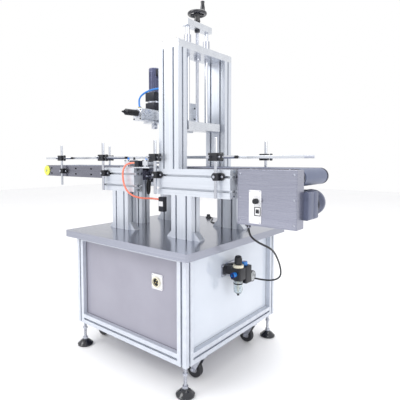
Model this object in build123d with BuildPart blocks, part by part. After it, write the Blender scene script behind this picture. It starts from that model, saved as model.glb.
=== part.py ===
from build123d import *
import math
import os

os.makedirs("parts", exist_ok=True)

# ---------------------------------------------------------------- driving sizes (mm)
# X runs along the belt towards the drive end, Y away from the operator, Z up from the floor.

# Base cabinet
cabinet_x = 180             # centre of the cabinet along the belt
cabinet_length = 608
cabinet_depth = 624
cabinet_bottom = 105        # underside of the frame above the floor
cabinet_height = 397
small_cell = 40             # cabinet profile, one slot per side
large_cell = 50             # upper profile, 50 x 100
slot_open = 8
slot_lip = 5
slot_pocket_width = 15
slot_pocket_depth = 6
core_bore = 6.05
panel_thickness = 4
worktop_overhang = 35
worktop_sheet = 2
worktop_flange = 27
worktop_corner = 10

# Feet and casters
foot_radius = 33
foot_stem_radius = 6
caster_inset_x = 36
caster_inset_y = 129
caster_trail = 28
wheel_radius = 31.5
wheel_width = 22
wheel_clear = 1.5
caster_plate_size = 60
caster_plate_thickness = 4

# Upper frame
beam_gap = 256              # clear width between the front and the rear beam
beam_bottom = 668
post_left_x = 3
post_right_x = 350
belt_post_x = -45
belt_post_head = 10
beam_left_end = -112
beam_mid_left = 93
beam_mid_right = 226
beam_right_end = 567
column_x = 288
column_top = 1223
top_plate_thickness = 28

# Lift
shaft_spread = 124
shaft_radius = 8
screw_radius = 7
fit_gap = 0.05              # radial running clearance of every turning or sliding fit
crosshead_gap = 82          # clear height from the top plate to the crosshead
crosshead_height = 24
crosshead_width = 32
crosshead_length = 164
carriage_top = 953
carriage_height = 32
carriage_length = 210
carriage_width = 80
handwheel_radius = 40
handwheel_rise = 41         # handwheel's middle above the crosshead
crank_radius = 29
crank_height = 50

# Capping head
head_x = 41
housing_bottom = 974
housing_height = 52
housing_width = 52
housing_front = -108
housing_rear = 60
motor_radius = 25
motor_height = 109
gearbox_width = 62
gearbox_height = 39
clutch_height = 8
coupling_height = 32
spindle_radius = 8
chuck_radius = 14
chuck_height = 22
chuck_bottom = 943
slide_body_width = 50
slide_table = 13.5
slide_gap = 0.5
absorber_radius = 13.5
absorber_length = 66

# Conveyor
belt_width = 180
belt_thickness = 2
roller_radius = 26.5
roller_gap = 0.3
idler_x = -705
drive_x = 766
roller_z = 744
side_gap = 202              # clear width between the side plates
side_thickness = 3
side_cover = 0.2            # how far the side plates stand past the belt
side_lip = 2
box_left = 584
box_right = 795
box_bottom = 585
box_top = 770
box_front = -158
box_back = -110
box_sheet = 2
motor_axis_z = 656
drive_motor_radius = 45
sprocket_radius = 17

# Guides
rail_z = 812
rail_offset = 45
rail_height = 12
rail_thickness = 6
rod_radius = 6
rod_length = 208
rod_bottom = 670
front_rod_x = (-532, -88, 232, 520)
rear_rod_x = (-430, 500)

# ---------------------------------------------------------------- sizes that follow
cabinet_left = cabinet_x - cabinet_length / 2
cabinet_right = cabinet_x + cabinet_length / 2
half_depth = cabinet_depth / 2
frame_top = cabinet_bottom + cabinet_height
worktop_z = frame_top + worktop_sheet
post_height = beam_bottom - worktop_z
beam_height = 2 * large_cell
beam_top = beam_bottom + beam_height
beam_y = beam_gap / 2 + large_cell / 2
beam_face = beam_gap / 2 + large_cell
top_plate_z = column_top + top_plate_thickness
crosshead_bottom = top_plate_z + crosshead_gap
crosshead_top = crosshead_bottom + crosshead_height
handwheel_z = crosshead_top + handwheel_rise
belt_outer = roller_radius + roller_gap + belt_thickness
side_height = 2 * (belt_outer + side_cover)
side_bottom = roller_z - side_height / 2
side_outer = side_gap / 2 + side_thickness
rail_left = -(drive_x + drive_motor_radius)
coupling_bottom = housing_bottom + housing_height
clutch_bottom = coupling_bottom + coupling_height
gearbox_bottom = clutch_bottom + clutch_height
head_motor_bottom = gearbox_bottom + gearbox_height
slide_right = column_x - carriage_width / 2 - 8
slide_left = slide_right - slide_body_width
table_left = slide_left - slide_gap - slide_table


def save(builder, name):
    """Label one finished piece and write it."""
    builder.part.label = name
    export_step(builder.part, f"parts/{name}.step")


def slotted_section(columns, rows, cell):
    """Cross-section of a slotted aluminium profile, columns x rows cells."""
    width = columns * cell
    height = rows * cell
    with BuildSketch() as section:
        Rectangle(width, height)
        with GridLocations(cell, cell, columns, rows):
            Circle(core_bore, mode=Mode.SUBTRACT)
        with GridLocations(cell, height - slot_lip, columns, 2):
            Rectangle(slot_open, slot_lip, mode=Mode.SUBTRACT)
        with GridLocations(cell, height - 2 * slot_lip - slot_pocket_depth, columns, 2):
            Rectangle(slot_pocket_width, slot_pocket_depth, mode=Mode.SUBTRACT)
        with GridLocations(width - slot_lip, cell, 2, rows):
            Rectangle(slot_lip, slot_open, mode=Mode.SUBTRACT)
        with GridLocations(width - 2 * slot_lip - slot_pocket_depth, cell, 2, rows):
            Rectangle(slot_pocket_depth, slot_pocket_width, mode=Mode.SUBTRACT)
    return section.sketch


small_section = slotted_section(1, 1, small_cell)
column_section = slotted_section(2, 1, large_cell)
beam_section = slotted_section(1, 2, large_cell)

# ---------------------------------------------------------------- base cabinet
post_x = cabinet_length / 2 - small_cell / 2
post_y = half_depth - small_cell / 2
corner_places = [(cabinet_x + sx * post_x, sy * post_y) for sx in (-1, 1) for sy in (-1, 1)]
rail_levels = (cabinet_bottom + small_cell / 2, frame_top - small_cell / 2)
long_rail = cabinet_length - 2 * small_cell
deep_rail = cabinet_depth - 2 * small_cell

with BuildPart() as cabinet_frame:
    with BuildSketch(Plane.XY.offset(cabinet_bottom)):
        with Locations(*corner_places):
            add(small_section)
    extrude(amount=cabinet_height)
    with BuildSketch(Plane.YZ.offset(cabinet_left + small_cell)):
        with Locations(*[(sy * post_y, z) for sy in (-1, 1) for z in rail_levels]):
            add(small_section)
    extrude(amount=long_rail)
    with BuildSketch(Plane.XZ.offset(deep_rail / 2)):
        with Locations(*[(cabinet_x + sx * post_x, z) for sx in (-1, 1) for z in rail_levels]):
            add(small_section)
    extrude(amount=-deep_rail)
save(cabinet_frame, "cabinet_frame")

# Folded stainless tray on the frame, its flange hanging outside the rails
worktop_length = cabinet_length + 2 * worktop_overhang
worktop_depth = cabinet_depth + 2 * worktop_overhang
with BuildPart() as worktop:
    with BuildSketch(Plane.XY.offset(worktop_z - worktop_flange)):
        with Locations((cabinet_x, 0)):
            RectangleRounded(worktop_length, worktop_depth, worktop_corner)
    extrude(amount=worktop_flange)
    with BuildSketch(Plane.XY.offset(worktop_z - worktop_flange)):
        with Locations((cabinet_x, 0)):
            RectangleRounded(worktop_length - 2 * worktop_sheet, worktop_depth - 2 * worktop_sheet,
                             worktop_corner - worktop_sheet)
    extrude(amount=worktop_flange - worktop_sheet, mode=Mode.SUBTRACT)
save(worktop, "worktop")

# Sheet panels sit in the slots; their edge strip fills the slot opening
panel_low = cabinet_bottom + small_cell
panel_high = frame_top - small_cell
panel_z = (panel_low + panel_high) / 2
panel_rise = panel_high - panel_low
panel_inset = small_cell / 2
panel_tongue = slot_lip - 1


def slot_panel(plane, along, width):
    """One panel in the slots of its frame, standing on a plane whose local Y is up."""
    with BuildSketch(plane.offset(-panel_thickness / 2)) as sheet:
        with Locations((along, panel_z)):
            Rectangle(width + 2, panel_rise + 2)
    extrude(sheet.sketch, amount=panel_thickness)
    with BuildSketch(plane.offset(-slot_open / 2)) as edge_strip:
        with Locations((along, panel_z)):
            Rectangle(width + 2 * panel_tongue, panel_rise + 2 * panel_tongue)
            Rectangle(width - 6, panel_rise - 6, mode=Mode.SUBTRACT)
    extrude(edge_strip.sketch, amount=slot_open)


with BuildPart() as cabinet_panels:
    slot_panel(Plane.XZ.offset(half_depth - panel_inset), cabinet_x, long_rail)
    slot_panel(Plane.YZ.offset(cabinet_left + panel_inset), 0, deep_rail)
    with BuildSketch(Plane.XY.offset(panel_low)):
        with Locations((cabinet_x, 0)):
            Rectangle(long_rail - 2, deep_rail - 2)
    extrude(amount=-2)
save(cabinet_panels, "cabinet_panels")

with BuildPart() as right_panel:
    slot_panel(Plane.YZ.offset(cabinet_right - panel_inset), 0, deep_rail)
save(right_panel, "right_panel")

# Rear door hung on two hinges at the rear left post
door_gap = 2
door_thickness = 18
door_sheet = 2
door_width = long_rail - 2 * door_gap
door_rise = panel_rise - 2 * door_gap
door_left = cabinet_left + small_cell + door_gap
hinge_pin_radius = 3
hinge_barrel = 6
hinge_y = half_depth + hinge_barrel + 1
hinge_x = cabinet_left + small_cell
hinge_levels = (panel_z - 100, panel_z + 100)
leaf_length = 50
leaf_thickness = 2.5
with BuildPart() as rear_door:
    with BuildSketch(Plane.XZ.offset(-half_depth)):
        with Locations((door_left + door_width / 2, panel_z)):
            Rectangle(door_width, door_rise)
    extrude(amount=door_thickness)
    with BuildSketch(Plane.XZ.offset(-half_depth + door_sheet)):
        with Locations((door_left + door_width / 2, panel_z)):
            Rectangle(door_width - 2 * door_sheet, door_rise - 2 * door_sheet)
    extrude(amount=door_thickness, mode=Mode.SUBTRACT)
    # moving hinge leaves, upper half of each barrel
    for level in hinge_levels:
        with BuildSketch(Plane.XY.offset(level + fit_gap)):
            with Locations((hinge_x + 14, half_depth + leaf_thickness / 2)):
                Rectangle(24, leaf_thickness)
            with Locations((hinge_x + 2.5, half_depth + leaf_thickness / 2)):
                Rectangle(5, leaf_thickness)
            with Locations((hinge_x, hinge_y)):
                Circle(hinge_barrel)
            with Locations((hinge_x, hinge_y)):
                Circle(hinge_pin_radius + fit_gap, mode=Mode.SUBTRACT)
        extrude(amount=leaf_length / 2)
    # bow handle
    handle_x = door_left + door_width - 40
    with BuildSketch(Plane.XZ.offset(-half_depth)):
        with Locations((handle_x, panel_z - 48), (handle_x, panel_z + 48)):
            Circle(4)
    extrude(amount=-20)
    with BuildSketch(Plane.XY.offset(panel_z - 53)):
        with Locations((handle_x, half_depth + 22)):
            Circle(5)
    extrude(amount=106)
save(rear_door, "rear_door")

with BuildPart() as door_hinges:
    for level in hinge_levels:
        with BuildSketch(Plane.XY.offset(level - leaf_length / 2)):
            with Locations((hinge_x - 14, half_depth + leaf_thickness / 2)):
                Rectangle(24, leaf_thickness)
            with Locations((hinge_x - 2.5, half_depth + leaf_thickness / 2)):
                Rectangle(5, leaf_thickness)
            with Locations((hinge_x, hinge_y)):
                Circle(hinge_barrel)
        extrude(amount=leaf_length / 2 - fit_gap)
        with BuildSketch(Plane.XY.offset(level - leaf_length / 2)):
            with Locations((hinge_x, hinge_y)):
                Circle(hinge_pin_radius)
        extrude(amount=leaf_length + 2)
save(door_hinges, "door_hinges")

# Controls on a mounting plate behind the left panel: supply, controller, contactor, valve bank
plate_x = cabinet_left + small_cell + 6
with BuildPart() as control_modules:
    with BuildSketch(Plane.YZ.offset(plate_x)):
        with Locations((0, panel_z)):
            Rectangle(420, 280)
    extrude(amount=3)
    with BuildSketch(Plane.YZ.offset(cabinet_left + panel_inset + panel_thickness / 2)):
        with Locations((0, panel_z)):
            with GridLocations(380, 240, 2, 2):
                Circle(6)
    extrude(amount=plate_x - cabinet_left - panel_inset - panel_thickness / 2)
    for y, z, width, height, depth in ((-140, 370, 110, 98, 50), (0, 370, 130, 90, 62),
                                       (130, 370, 60, 84, 70), (-60, 235, 220, 34, 36),
                                       (120, 235, 120, 60, 44)):
        with BuildSketch(Plane.YZ.offset(plate_x + 3)):
            with Locations((y, z)):
                Rectangle(width, height)
        extrude(amount=depth)
    for step in range(4):
        with BuildSketch(Plane.YZ.offset(plate_x + 47)):
            with Locations((84 + 24 * step, 235)):
                Rectangle(18, 50)
        extrude(amount=22)
save(control_modules, "control_modules")

# Levelling feet: domed base, hex nut and stem turning in the post's core
with BuildPart() as levelling_feet:
    for x, y in corner_places:
        with BuildSketch(Plane.XZ.offset(-y)):
            with BuildLine():
                Polyline((x, 24), (x, 0), (x + foot_radius, 0), (x + foot_radius, 7))
                RadiusArc((x + foot_radius, 7), (x + 12, 24), -34)
                Line((x + 12, 24), (x, 24))
            make_face()
        revolve(axis=Axis((x, y, 0), (0, 0, 1)))
        with BuildSketch(Plane.XY.offset(24)):
            with Locations((x, y)):
                RegularPolygon(11, 6)
        extrude(amount=10)
        with BuildSketch(Plane.XY.offset(34)):
            with Locations((x, y)):
                Circle(foot_stem_radius)
        extrude(amount=cabinet_bottom + 30 - 34)
save(levelling_feet, "levelling_feet")

# Casters: bolted plate with kingpin, swivelling fork, wheel on an axle along Y
caster_places = {"rear_left": (-1, 1), "rear_right": (1, 1), "front_left": (-1, -1), "front_right": (1, -1)}
plate_bottom = cabinet_bottom - caster_plate_thickness
fork_top = plate_bottom - 0.3
wheel_z = wheel_radius + wheel_clear
leg_inner = wheel_width / 2 + 1.5
leg_thickness = 2.5
kingpin_radius = 5
axle_radius = 4


def caster_axis(signs):
    """Swivel axis of one caster."""
    x = cabinet_x + signs[0] * (cabinet_length / 2 - caster_inset_x)
    y = signs[1] * (half_depth - caster_inset_y)
    return x, y


with BuildPart() as caster_plates:
    for signs in caster_places.values():
        x, y = caster_axis(signs)
        with BuildSketch(Plane.XY.offset(plate_bottom)):
            with Locations((x, y)):
                RectangleRounded(caster_plate_size, caster_plate_size, 4)
        extrude(amount=caster_plate_thickness)
        with BuildSketch(Plane.XY.offset(plate_bottom)):
            with Locations((x, y)):
                Circle(kingpin_radius)
        extrude(amount=-12)
        with BuildSketch(Plane.XY.offset(plate_bottom)):
            with Locations((x, y)):
                with GridLocations(46, 46, 2, 2):
                    Circle(4.5)
        extrude(amount=-3)
save(caster_plates, "caster_plates")

for place, signs in caster_places.items():
    x, y = caster_axis(signs)
    wheel_x = x - caster_trail
    with BuildPart() as caster_fork:
        with BuildSketch(Plane.XY.offset(fork_top - 12)):
            with Locations((x, y)):
                Circle(21)
                Circle(kingpin_radius + fit_gap, mode=Mode.SUBTRACT)
        extrude(amount=12)
        with BuildSketch(Plane.XY.offset(fork_top - 16)):
            with Locations((x - 8, y)):
                RectangleRounded(50, 2 * (leg_inner + leg_thickness), 3)
        extrude(amount=4)
        with BuildSketch(Plane.XZ.offset(-y)):
            with BuildLine():
                Polyline((x - 30, fork_top - 12), (x + 14, fork_top - 12), (wheel_x + 8, wheel_z - 8),
                         (wheel_x - 8, wheel_z - 8), (x - 30, fork_top - 12))
            make_face()
        extrude(amount=leg_inner + leg_thickness, both=True)
        with BuildSketch(Plane.XZ.offset(-y)):
            with BuildLine():
                Polyline((x - 60, fork_top - 16), (x + 40, fork_top - 16), (x + 40, 0), (x - 60, 0),
                         (x - 60, fork_top - 16))
            make_face()
        extrude(amount=leg_inner, both=True, mode=Mode.SUBTRACT)
        with BuildSketch(Plane.XZ.offset(-y)):
            with Locations((wheel_x, wheel_z)):
                Circle(axle_radius)
        extrude(amount=leg_inner + leg_thickness + 4, both=True)
    save(caster_fork, f"caster_fork_{place}")

    with BuildPart() as caster_wheel:
        with BuildSketch(Plane.XZ.offset(-y)):
            with Locations((wheel_x, wheel_z)):
                Circle(wheel_radius)
                Circle(axle_radius + fit_gap, mode=Mode.SUBTRACT)
        extrude(amount=wheel_width / 2, both=True)
        fillet(caster_wheel.edges().filter_by(GeomType.CIRCLE).sort_by(SortBy.RADIUS)[-2:], 3)
        for side in (-1, 1):
            with BuildSketch(Plane.XZ.offset(-y + side * (wheel_width / 2 - 2))):
                with Locations((wheel_x, wheel_z)):
                    Circle(wheel_radius - 8)
                    Circle(10, mode=Mode.SUBTRACT)
            extrude(amount=side * 3, mode=Mode.SUBTRACT)
    save(caster_wheel, f"caster_wheel_{place}")

# ---------------------------------------------------------------- upper frame
with BuildPart() as beam_posts:
    with BuildSketch(Plane.XY.offset(worktop_z)):
        with Locations(*[(x, sy * beam_y) for x in (post_left_x, post_right_x) for sy in (-1, 1)]):
            add(column_section)
    extrude(amount=post_height)
    # single post under the infeed end of the conveyor, with its head plate
    with BuildSketch(Plane.XY.offset(worktop_z)):
        with Locations((belt_post_x, 0)):
            add(slotted_section(1, 1, large_cell))
    extrude(amount=side_bottom - belt_post_head - worktop_z)
    with BuildSketch(Plane.XY.offset(side_bottom - belt_post_head)):
        with Locations((belt_post_x, 0)):
            Rectangle(large_cell, 2 * side_outer)
    extrude(amount=belt_post_head)
    # corner angles bolting each post to the worktop
    for x in (post_left_x, post_right_x):
        for sx in (-1, 1):
            face_x = x + sx * large_cell
            for sy in (-1, 1):
                with BuildSketch(Plane.XZ.offset(-sy * beam_y)):
                    with BuildLine():
                        Polyline((face_x, worktop_z), (face_x + sx * 30, worktop_z),
                                 (face_x + sx * 30, worktop_z + 4), (face_x + sx * 4, worktop_z + 30),
                                 (face_x, worktop_z + 30), (face_x, worktop_z))
                    make_face()
                extrude(amount=15, both=True)
save(beam_posts, "beam_posts")


def beam(start, end, y):
    """One 50 x 100 beam lying along X on its narrow side."""
    with BuildSketch(Plane.YZ.offset(start)) as section:
        with Locations((y, beam_bottom + large_cell)):
            add(beam_section)
    extrude(section.sketch, amount=end - start)


with BuildPart() as cross_beams:
    beam(beam_left_end, beam_mid_left, -beam_y)
    beam(beam_mid_right, beam_right_end, -beam_y)
    beam(beam_left_end, beam_right_end, beam_y)
save(cross_beams, "cross_beams")

with BuildPart() as gantry_columns:
    with BuildSketch(Plane.XY.offset(beam_top)):
        with Locations((column_x, -beam_y), (column_x, beam_y)):
            add(column_section)
    extrude(amount=column_top - beam_top)
save(gantry_columns, "gantry_columns")

# ---------------------------------------------------------------- lift
bearing_radius = 14
nut_radius = 14
shaft_places = ((column_x, -shaft_spread / 2), (column_x, shaft_spread / 2))
with BuildPart() as top_plate:
    with BuildSketch(Plane.XY.offset(column_top)):
        with Locations((column_x, 0)):
            Rectangle(2 * large_cell, 2 * beam_face)
        with Locations(*shaft_places):
            Circle(bearing_radius, mode=Mode.SUBTRACT)
        with Locations((column_x, 0)):
            Circle(nut_radius, mode=Mode.SUBTRACT)
    extrude(amount=top_plate_thickness)
    chamfer(top_plate.edges().group_by(Axis.Z)[-1].filter_by(GeomType.LINE), 1)
save(top_plate, "top_plate")

# Flanged linear bearings and the bronze screw nut, seated in the top plate
with BuildPart() as lift_bearings:
    with BuildSketch(Plane.XY.offset(column_top)):
        with Locations(*shaft_places):
            Circle(bearing_radius)
    extrude(amount=top_plate_thickness + 47)
    with BuildSketch(Plane.XY.offset(top_plate_z)):
        with Locations(*shaft_places):
            Circle(24)
    extrude(amount=6)
    with BuildSketch(Plane.XY.offset(column_top - 16)):
        with Locations((column_x, 0)):
            Circle(nut_radius)
    extrude(amount=top_plate_thickness + 16)
    with BuildSketch(Plane.XY.offset(top_plate_z)):
        with Locations((column_x, 0)):
            Circle(22)
    extrude(amount=7)
    with BuildSketch(Plane.XY.offset(top_plate_z + 6)):
        with Locations(*shaft_places):
            with PolarLocations(19, 4, 45):
                Circle(3)
    extrude(amount=3)
    with BuildSketch(Plane.XY.offset(column_top - 20)):
        with Locations(*shaft_places):
            Circle(shaft_radius + fit_gap)
        with Locations((column_x, 0)):
            Circle(screw_radius + fit_gap)
    extrude(amount=120, mode=Mode.SUBTRACT)
save(lift_bearings, "lift_bearings")

journal_radius = 6
with BuildPart() as crosshead:
    with BuildSketch(Plane.XY.offset(crosshead_bottom)):
        with Locations((column_x, 0)):
            Rectangle(crosshead_width, crosshead_length)
        with Locations(*shaft_places):
            Circle(shaft_radius, mode=Mode.SUBTRACT)
        with Locations((column_x, 0)):
            Circle(journal_radius + fit_gap, mode=Mode.SUBTRACT)
    extrude(amount=crosshead_height)
    chamfer(crosshead.edges().filter_by(GeomType.LINE).filter_by(Axis.Z), 2)
save(crosshead, "crosshead")

carriage_bottom = carriage_top - carriage_height
with BuildPart() as guide_shafts:
    with BuildSketch(Plane.XY.offset(carriage_bottom)):
        with Locations(*shaft_places):
            Circle(shaft_radius)
    extrude(amount=crosshead_top + 1 - carriage_bottom)
    chamfer(guide_shafts.edges().group_by(Axis.Z)[-1], 1)
save(guide_shafts, "guide_shafts")

collar_height = 9
collar_radius = 11
with BuildPart() as lift_screw:
    with BuildSketch(Plane.XY.offset(carriage_top + 0.3)):
        with Locations((column_x, 0)):
            Circle(screw_radius)
    extrude(amount=crosshead_bottom - 1 - carriage_top - 0.3)
    with BuildSketch(Plane.XY.offset(crosshead_bottom - 1)):
        with Locations((column_x, 0)):
            Circle(journal_radius)
    extrude(amount=handwheel_z + 10 - crosshead_bottom + 1)
    with BuildSketch(Plane.XY.offset(crosshead_bottom - 0.3 - collar_height)):
        with Locations((column_x, 0)):
            Circle(collar_radius)
    extrude(amount=collar_height)
    with BuildSketch(Plane.XY.offset(crosshead_top + 0.3)):
        with Locations((column_x, 0)):
            Circle(collar_radius)
    extrude(amount=collar_height - 2)
save(lift_screw, "lift_screw")

hub_bottom = crosshead_top + 0.3 + collar_height - 2
pin_radius = 4
crank_place = (column_x + 8, crank_radius - 3)
rim_radius = 7
with BuildPart() as handwheel:
    with BuildSketch(Plane.XY.offset(handwheel_z - 5)):
        with Locations((column_x, 0)):
            Circle(handwheel_radius - rim_radius)
    extrude(amount=9)
    with BuildSketch(Plane.XZ):
        with Locations((column_x + handwheel_radius - rim_radius, handwheel_z)):
            Circle(rim_radius)
    revolve(axis=Axis((column_x, 0, 0), (0, 0, 1)))
    with BuildSketch(Plane.XY.offset(hub_bottom)):
        with Locations((column_x, 0)):
            Circle(13)
    extrude(amount=handwheel_z + 9 - hub_bottom)
    with BuildSketch(Plane.XY.offset(handwheel_z - 5)):
        with Locations((column_x, 0)):
            with PolarLocations(20, 3, 13):
                Circle(6)
    extrude(amount=9, mode=Mode.SUBTRACT)
    with BuildSketch(Plane.XY.offset(hub_bottom)):
        with Locations((column_x, 0)):
            Circle(journal_radius)
    extrude(amount=handwheel_z + 10 - hub_bottom, mode=Mode.SUBTRACT)
    # crank pin that carries the grip
    with BuildSketch(Plane.XY.offset(handwheel_z)):
        with Locations(crank_place):
            Circle(pin_radius)
    extrude(amount=8 + crank_height)
save(handwheel, "handwheel")

with BuildPart() as crank_handle:
    with BuildSketch(Plane.XZ.offset(-crank_place[1])):
        with BuildLine():
            base_z = handwheel_z + 8
            Polyline((crank_place[0] + pin_radius + fit_gap, base_z), (crank_place[0] + 6, base_z))
            Spline((crank_place[0] + 6, base_z), (crank_place[0] + 9.5, base_z + 18),
                   (crank_place[0] + 7, base_z + 36), (crank_place[0] + 8, base_z + crank_height - 2))
            Polyline((crank_place[0] + 8, base_z + crank_height - 2),
                     (crank_place[0] + pin_radius + fit_gap, base_z + crank_height - 2),
                     (crank_place[0] + pin_radius + fit_gap, base_z))
        make_face()
    revolve(axis=Axis((crank_place[0], crank_place[1], 0), (0, 0, 1)))
save(crank_handle, "crank_handle")

# Carriage: cross plate clamped on the shafts, back plate for the head slide, stepped sensor bracket
with BuildPart() as carriage_plate:
    with BuildSketch(Plane.XY.offset(carriage_bottom)):
        with Locations((column_x, 0)):
            Rectangle(carriage_width, carriage_length)
        with Locations(*shaft_places):
            Circle(shaft_radius, mode=Mode.SUBTRACT)
    extrude(amount=carriage_height)
    with BuildSketch(Plane.YZ.offset(slide_right)):
        with Locations((0, (carriage_bottom + 1040) / 2)):
            Rectangle(90, 1040 - carriage_bottom)
    extrude(amount=8)
    with BuildSketch(Plane.XZ.offset(carriage_length / 2 - 32)):
        with BuildLine():
            left = column_x - carriage_width / 2
            Polyline((left, carriage_bottom), (left + 46, carriage_bottom),
                     (left + 46, carriage_bottom - 64),
                     (left + 22, carriage_bottom - 64), (left + 22, carriage_bottom - 120),
                     (left, carriage_bottom - 120), (left, carriage_bottom))
        make_face()
    extrude(amount=10)
    with BuildSketch(Plane.XZ.offset(carriage_length / 2)):
        with Locations((left + 11, carriage_bottom - 80), (left + 11, carriage_bottom - 105),
                       (left + 23, carriage_bottom - 25)):
            Circle(3.2)
    extrude(amount=-40, mode=Mode.SUBTRACT)
save(carriage_plate, "carriage_plate")

# Slide cylinder that lowers the head, fixed to the carriage
with BuildPart() as head_cylinder:
    with BuildSketch(Plane.XY.offset(carriage_bottom - 4)):
        with Locations(((slide_left + slide_right) / 2, 0)):
            Rectangle(slide_body_width, 70)
    extrude(amount=115)
    chamfer(head_cylinder.edges().filter_by(Axis.Z), 3)
    with BuildSketch(Plane.XY.offset(carriage_bottom + 111)):
        with Locations(((slide_left + slide_right) / 2, -20), ((slide_left + slide_right) / 2, 20)):
            Circle(6)
    extrude(amount=14)
save(head_cylinder, "head_cylinder")

# ---------------------------------------------------------------- capping head
with BuildPart() as head_arm:
    with BuildSketch(Plane.XY.offset(carriage_bottom - 4)):
        with Locations((table_left + slide_table / 2, 0)):
            Rectangle(slide_table, 70)
    extrude(amount=115)
    with BuildSketch(Plane.XY.offset(housing_bottom + 2)):
        with Locations(((head_x + housing_width / 2 + table_left) / 2, 0)):
            Rectangle(table_left - head_x - housing_width / 2, 50)
    extrude(amount=housing_height - 12)
    with BuildSketch(Plane.XZ):
        with BuildLine():
            Polyline((table_left, housing_bottom + 2), (table_left - 40, housing_bottom + 2),
                     (table_left, carriage_bottom), (table_left, housing_bottom + 2))
        make_face()
    extrude(amount=5, both=True)
save(head_arm, "head_arm")

# Aluminium housing with the spindle bearing, cross cylinder and its black absorber at the front
housing_length = housing_rear - housing_front
housing_mid = (housing_rear + housing_front) / 2
absorber_z = housing_bottom + housing_height * 0.6
with BuildPart() as head_housing:
    with BuildSketch(Plane.XY.offset(housing_bottom)):
        with Locations((head_x, housing_mid)):
            Rectangle(housing_width, housing_length)
    extrude(amount=housing_height)
    chamfer(head_housing.edges().filter_by(Axis.Y), 3)
    with BuildSketch(Plane.XY.offset(housing_bottom - 8)):
        with Locations((head_x, 0)):
            Rectangle(housing_width + 16, 76)
    extrude(amount=8)
    with BuildSketch(Plane.XZ.offset(-housing_front)):
        with Locations((head_x, absorber_z)):
            Circle(absorber_radius)
    extrude(amount=absorber_length)
    with BuildSketch(Plane.XZ.offset(-housing_front + absorber_length)):
        with Locations((head_x, absorber_z)):
            Circle(absorber_radius - 3)
    extrude(amount=8, taper=20)
    with BuildSketch(Plane.XZ.offset(-housing_front + absorber_length + 8)):
        with Locations((head_x, absorber_z)):
            Circle(4)
    extrude(amount=12)
    # hose elbow on top of the front end
    with BuildSketch(Plane.XY.offset(housing_bottom + housing_height)):
        with Locations((head_x, housing_front + 16)):
            RegularPolygon(8, 6)
    extrude(amount=10)
    with BuildSketch(Plane.XY.offset(housing_bottom - 8)):
        with Locations((head_x, 0)):
            Circle(spindle_radius + fit_gap)
    extrude(amount=housing_height + 8, mode=Mode.SUBTRACT)
save(head_housing, "head_housing")

with BuildPart() as head_gearbox:
    with BuildSketch(Plane.XY.offset(coupling_bottom)):
        with Locations((head_x, 0)):
            RectangleRounded(gearbox_width - 2, gearbox_width - 2, 4)
    extrude(amount=coupling_height)
    with BuildSketch(Plane.XY.offset(clutch_bottom)):
        with Locations((head_x, 0)):
            Circle(gearbox_width / 2)
    extrude(amount=clutch_height)
    with BuildSketch(Plane.XY.offset(gearbox_bottom)):
        with Locations((head_x, 0)):
            RectangleRounded(gearbox_width, gearbox_width, 6)
    extrude(amount=gearbox_height)
    with BuildSketch(Plane.XY.offset(coupling_bottom)):
        with Locations((head_x, 0)):
            Circle(spindle_radius + fit_gap)
    extrude(amount=coupling_height - 4, mode=Mode.SUBTRACT)
save(head_gearbox, "head_gearbox")

rib_count = 18
rib_depth = 2.5
with BuildPart() as head_motor:
    with BuildSketch(Plane.XY.offset(head_motor_bottom)):
        with Locations((head_x, 0)):
            Circle(motor_radius)
    extrude(amount=motor_height)
    with BuildSketch(Plane.XY.offset(head_motor_bottom + 12)):
        with Locations((head_x, 0)):
            with PolarLocations(motor_radius, rib_count):
                Rectangle(2 * rib_depth, 3)
    extrude(amount=motor_height - 30, mode=Mode.SUBTRACT)
    with BuildSketch(Plane.YZ.offset(head_x + motor_radius - 4)):
        with Locations((0, head_motor_bottom + motor_height - 22)):
            Rectangle(26, 30)
    extrude(amount=16)
save(head_motor, "head_motor")

with BuildPart() as spindle:
    with BuildSketch(Plane.XY.offset(chuck_bottom + chuck_height)):
        with Locations((head_x, 0)):
            Circle(spindle_radius)
    extrude(amount=coupling_bottom + coupling_height - 5 - chuck_bottom - chuck_height)
    with BuildSketch(Plane.XY.offset(chuck_bottom)):
        with Locations((head_x, 0)):
            Circle(chuck_radius)
    extrude(amount=chuck_height - 0.5)
    with BuildSketch(Plane.XY.offset(chuck_bottom)):
        with Locations((head_x, 0)):
            Circle(chuck_radius - 3)
    extrude(amount=12, taper=8, mode=Mode.SUBTRACT)
    with BuildSketch(Plane.XY.offset(chuck_bottom + chuck_height - 0.5)):
        with Locations((head_x, 0)):
            Circle(spindle_radius)
    extrude(amount=0.5)
save(spindle, "spindle")

# ---------------------------------------------------------------- conveyor
shaft_end_radius = 8
bracket_x = (-88, 60, 260, 520)
with BuildPart() as conveyor_sides:
    for sign in (-1, 1):
        inner_y = sign * side_gap / 2
        with BuildSketch(Plane.XZ.offset(-inner_y)):
            with Locations(((idler_x + drive_x) / 2, roller_z)):
                SlotCenterToCenter(drive_x - idler_x, side_height)
        extrude(amount=-sign * side_thickness)
        # folded lower lip
        with BuildSketch(Plane.XZ.offset(-inner_y)):
            with Locations(((idler_x + drive_x) / 2, side_bottom + side_lip / 2)):
                Rectangle(drive_x - idler_x, side_lip)
        extrude(amount=sign * 4 * side_lip)
        # blocks that carry the conveyor between the beams
        with BuildSketch(Plane.XZ.offset(-sign * side_outer)):
            for x in bracket_x:
                with Locations((x, roller_z - 4)):
                    Rectangle(40, 36)
        extrude(amount=-sign * (beam_gap / 2 - side_outer))
        # flanged bearing at each end of each roller
        for x in (idler_x, drive_x):
            with BuildSketch(Plane.XZ.offset(-sign * side_outer)):
                with Locations((x, roller_z)):
                    Circle(22 if x == idler_x or sign > 0 else 15)
            extrude(amount=-sign * 5)
    with BuildSketch(Plane.XZ):
        with Locations((idler_x, roller_z), (drive_x, roller_z)):
            Circle(shaft_end_radius + fit_gap)
    extrude(amount=side_outer + 10, both=True, mode=Mode.SUBTRACT)
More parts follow.
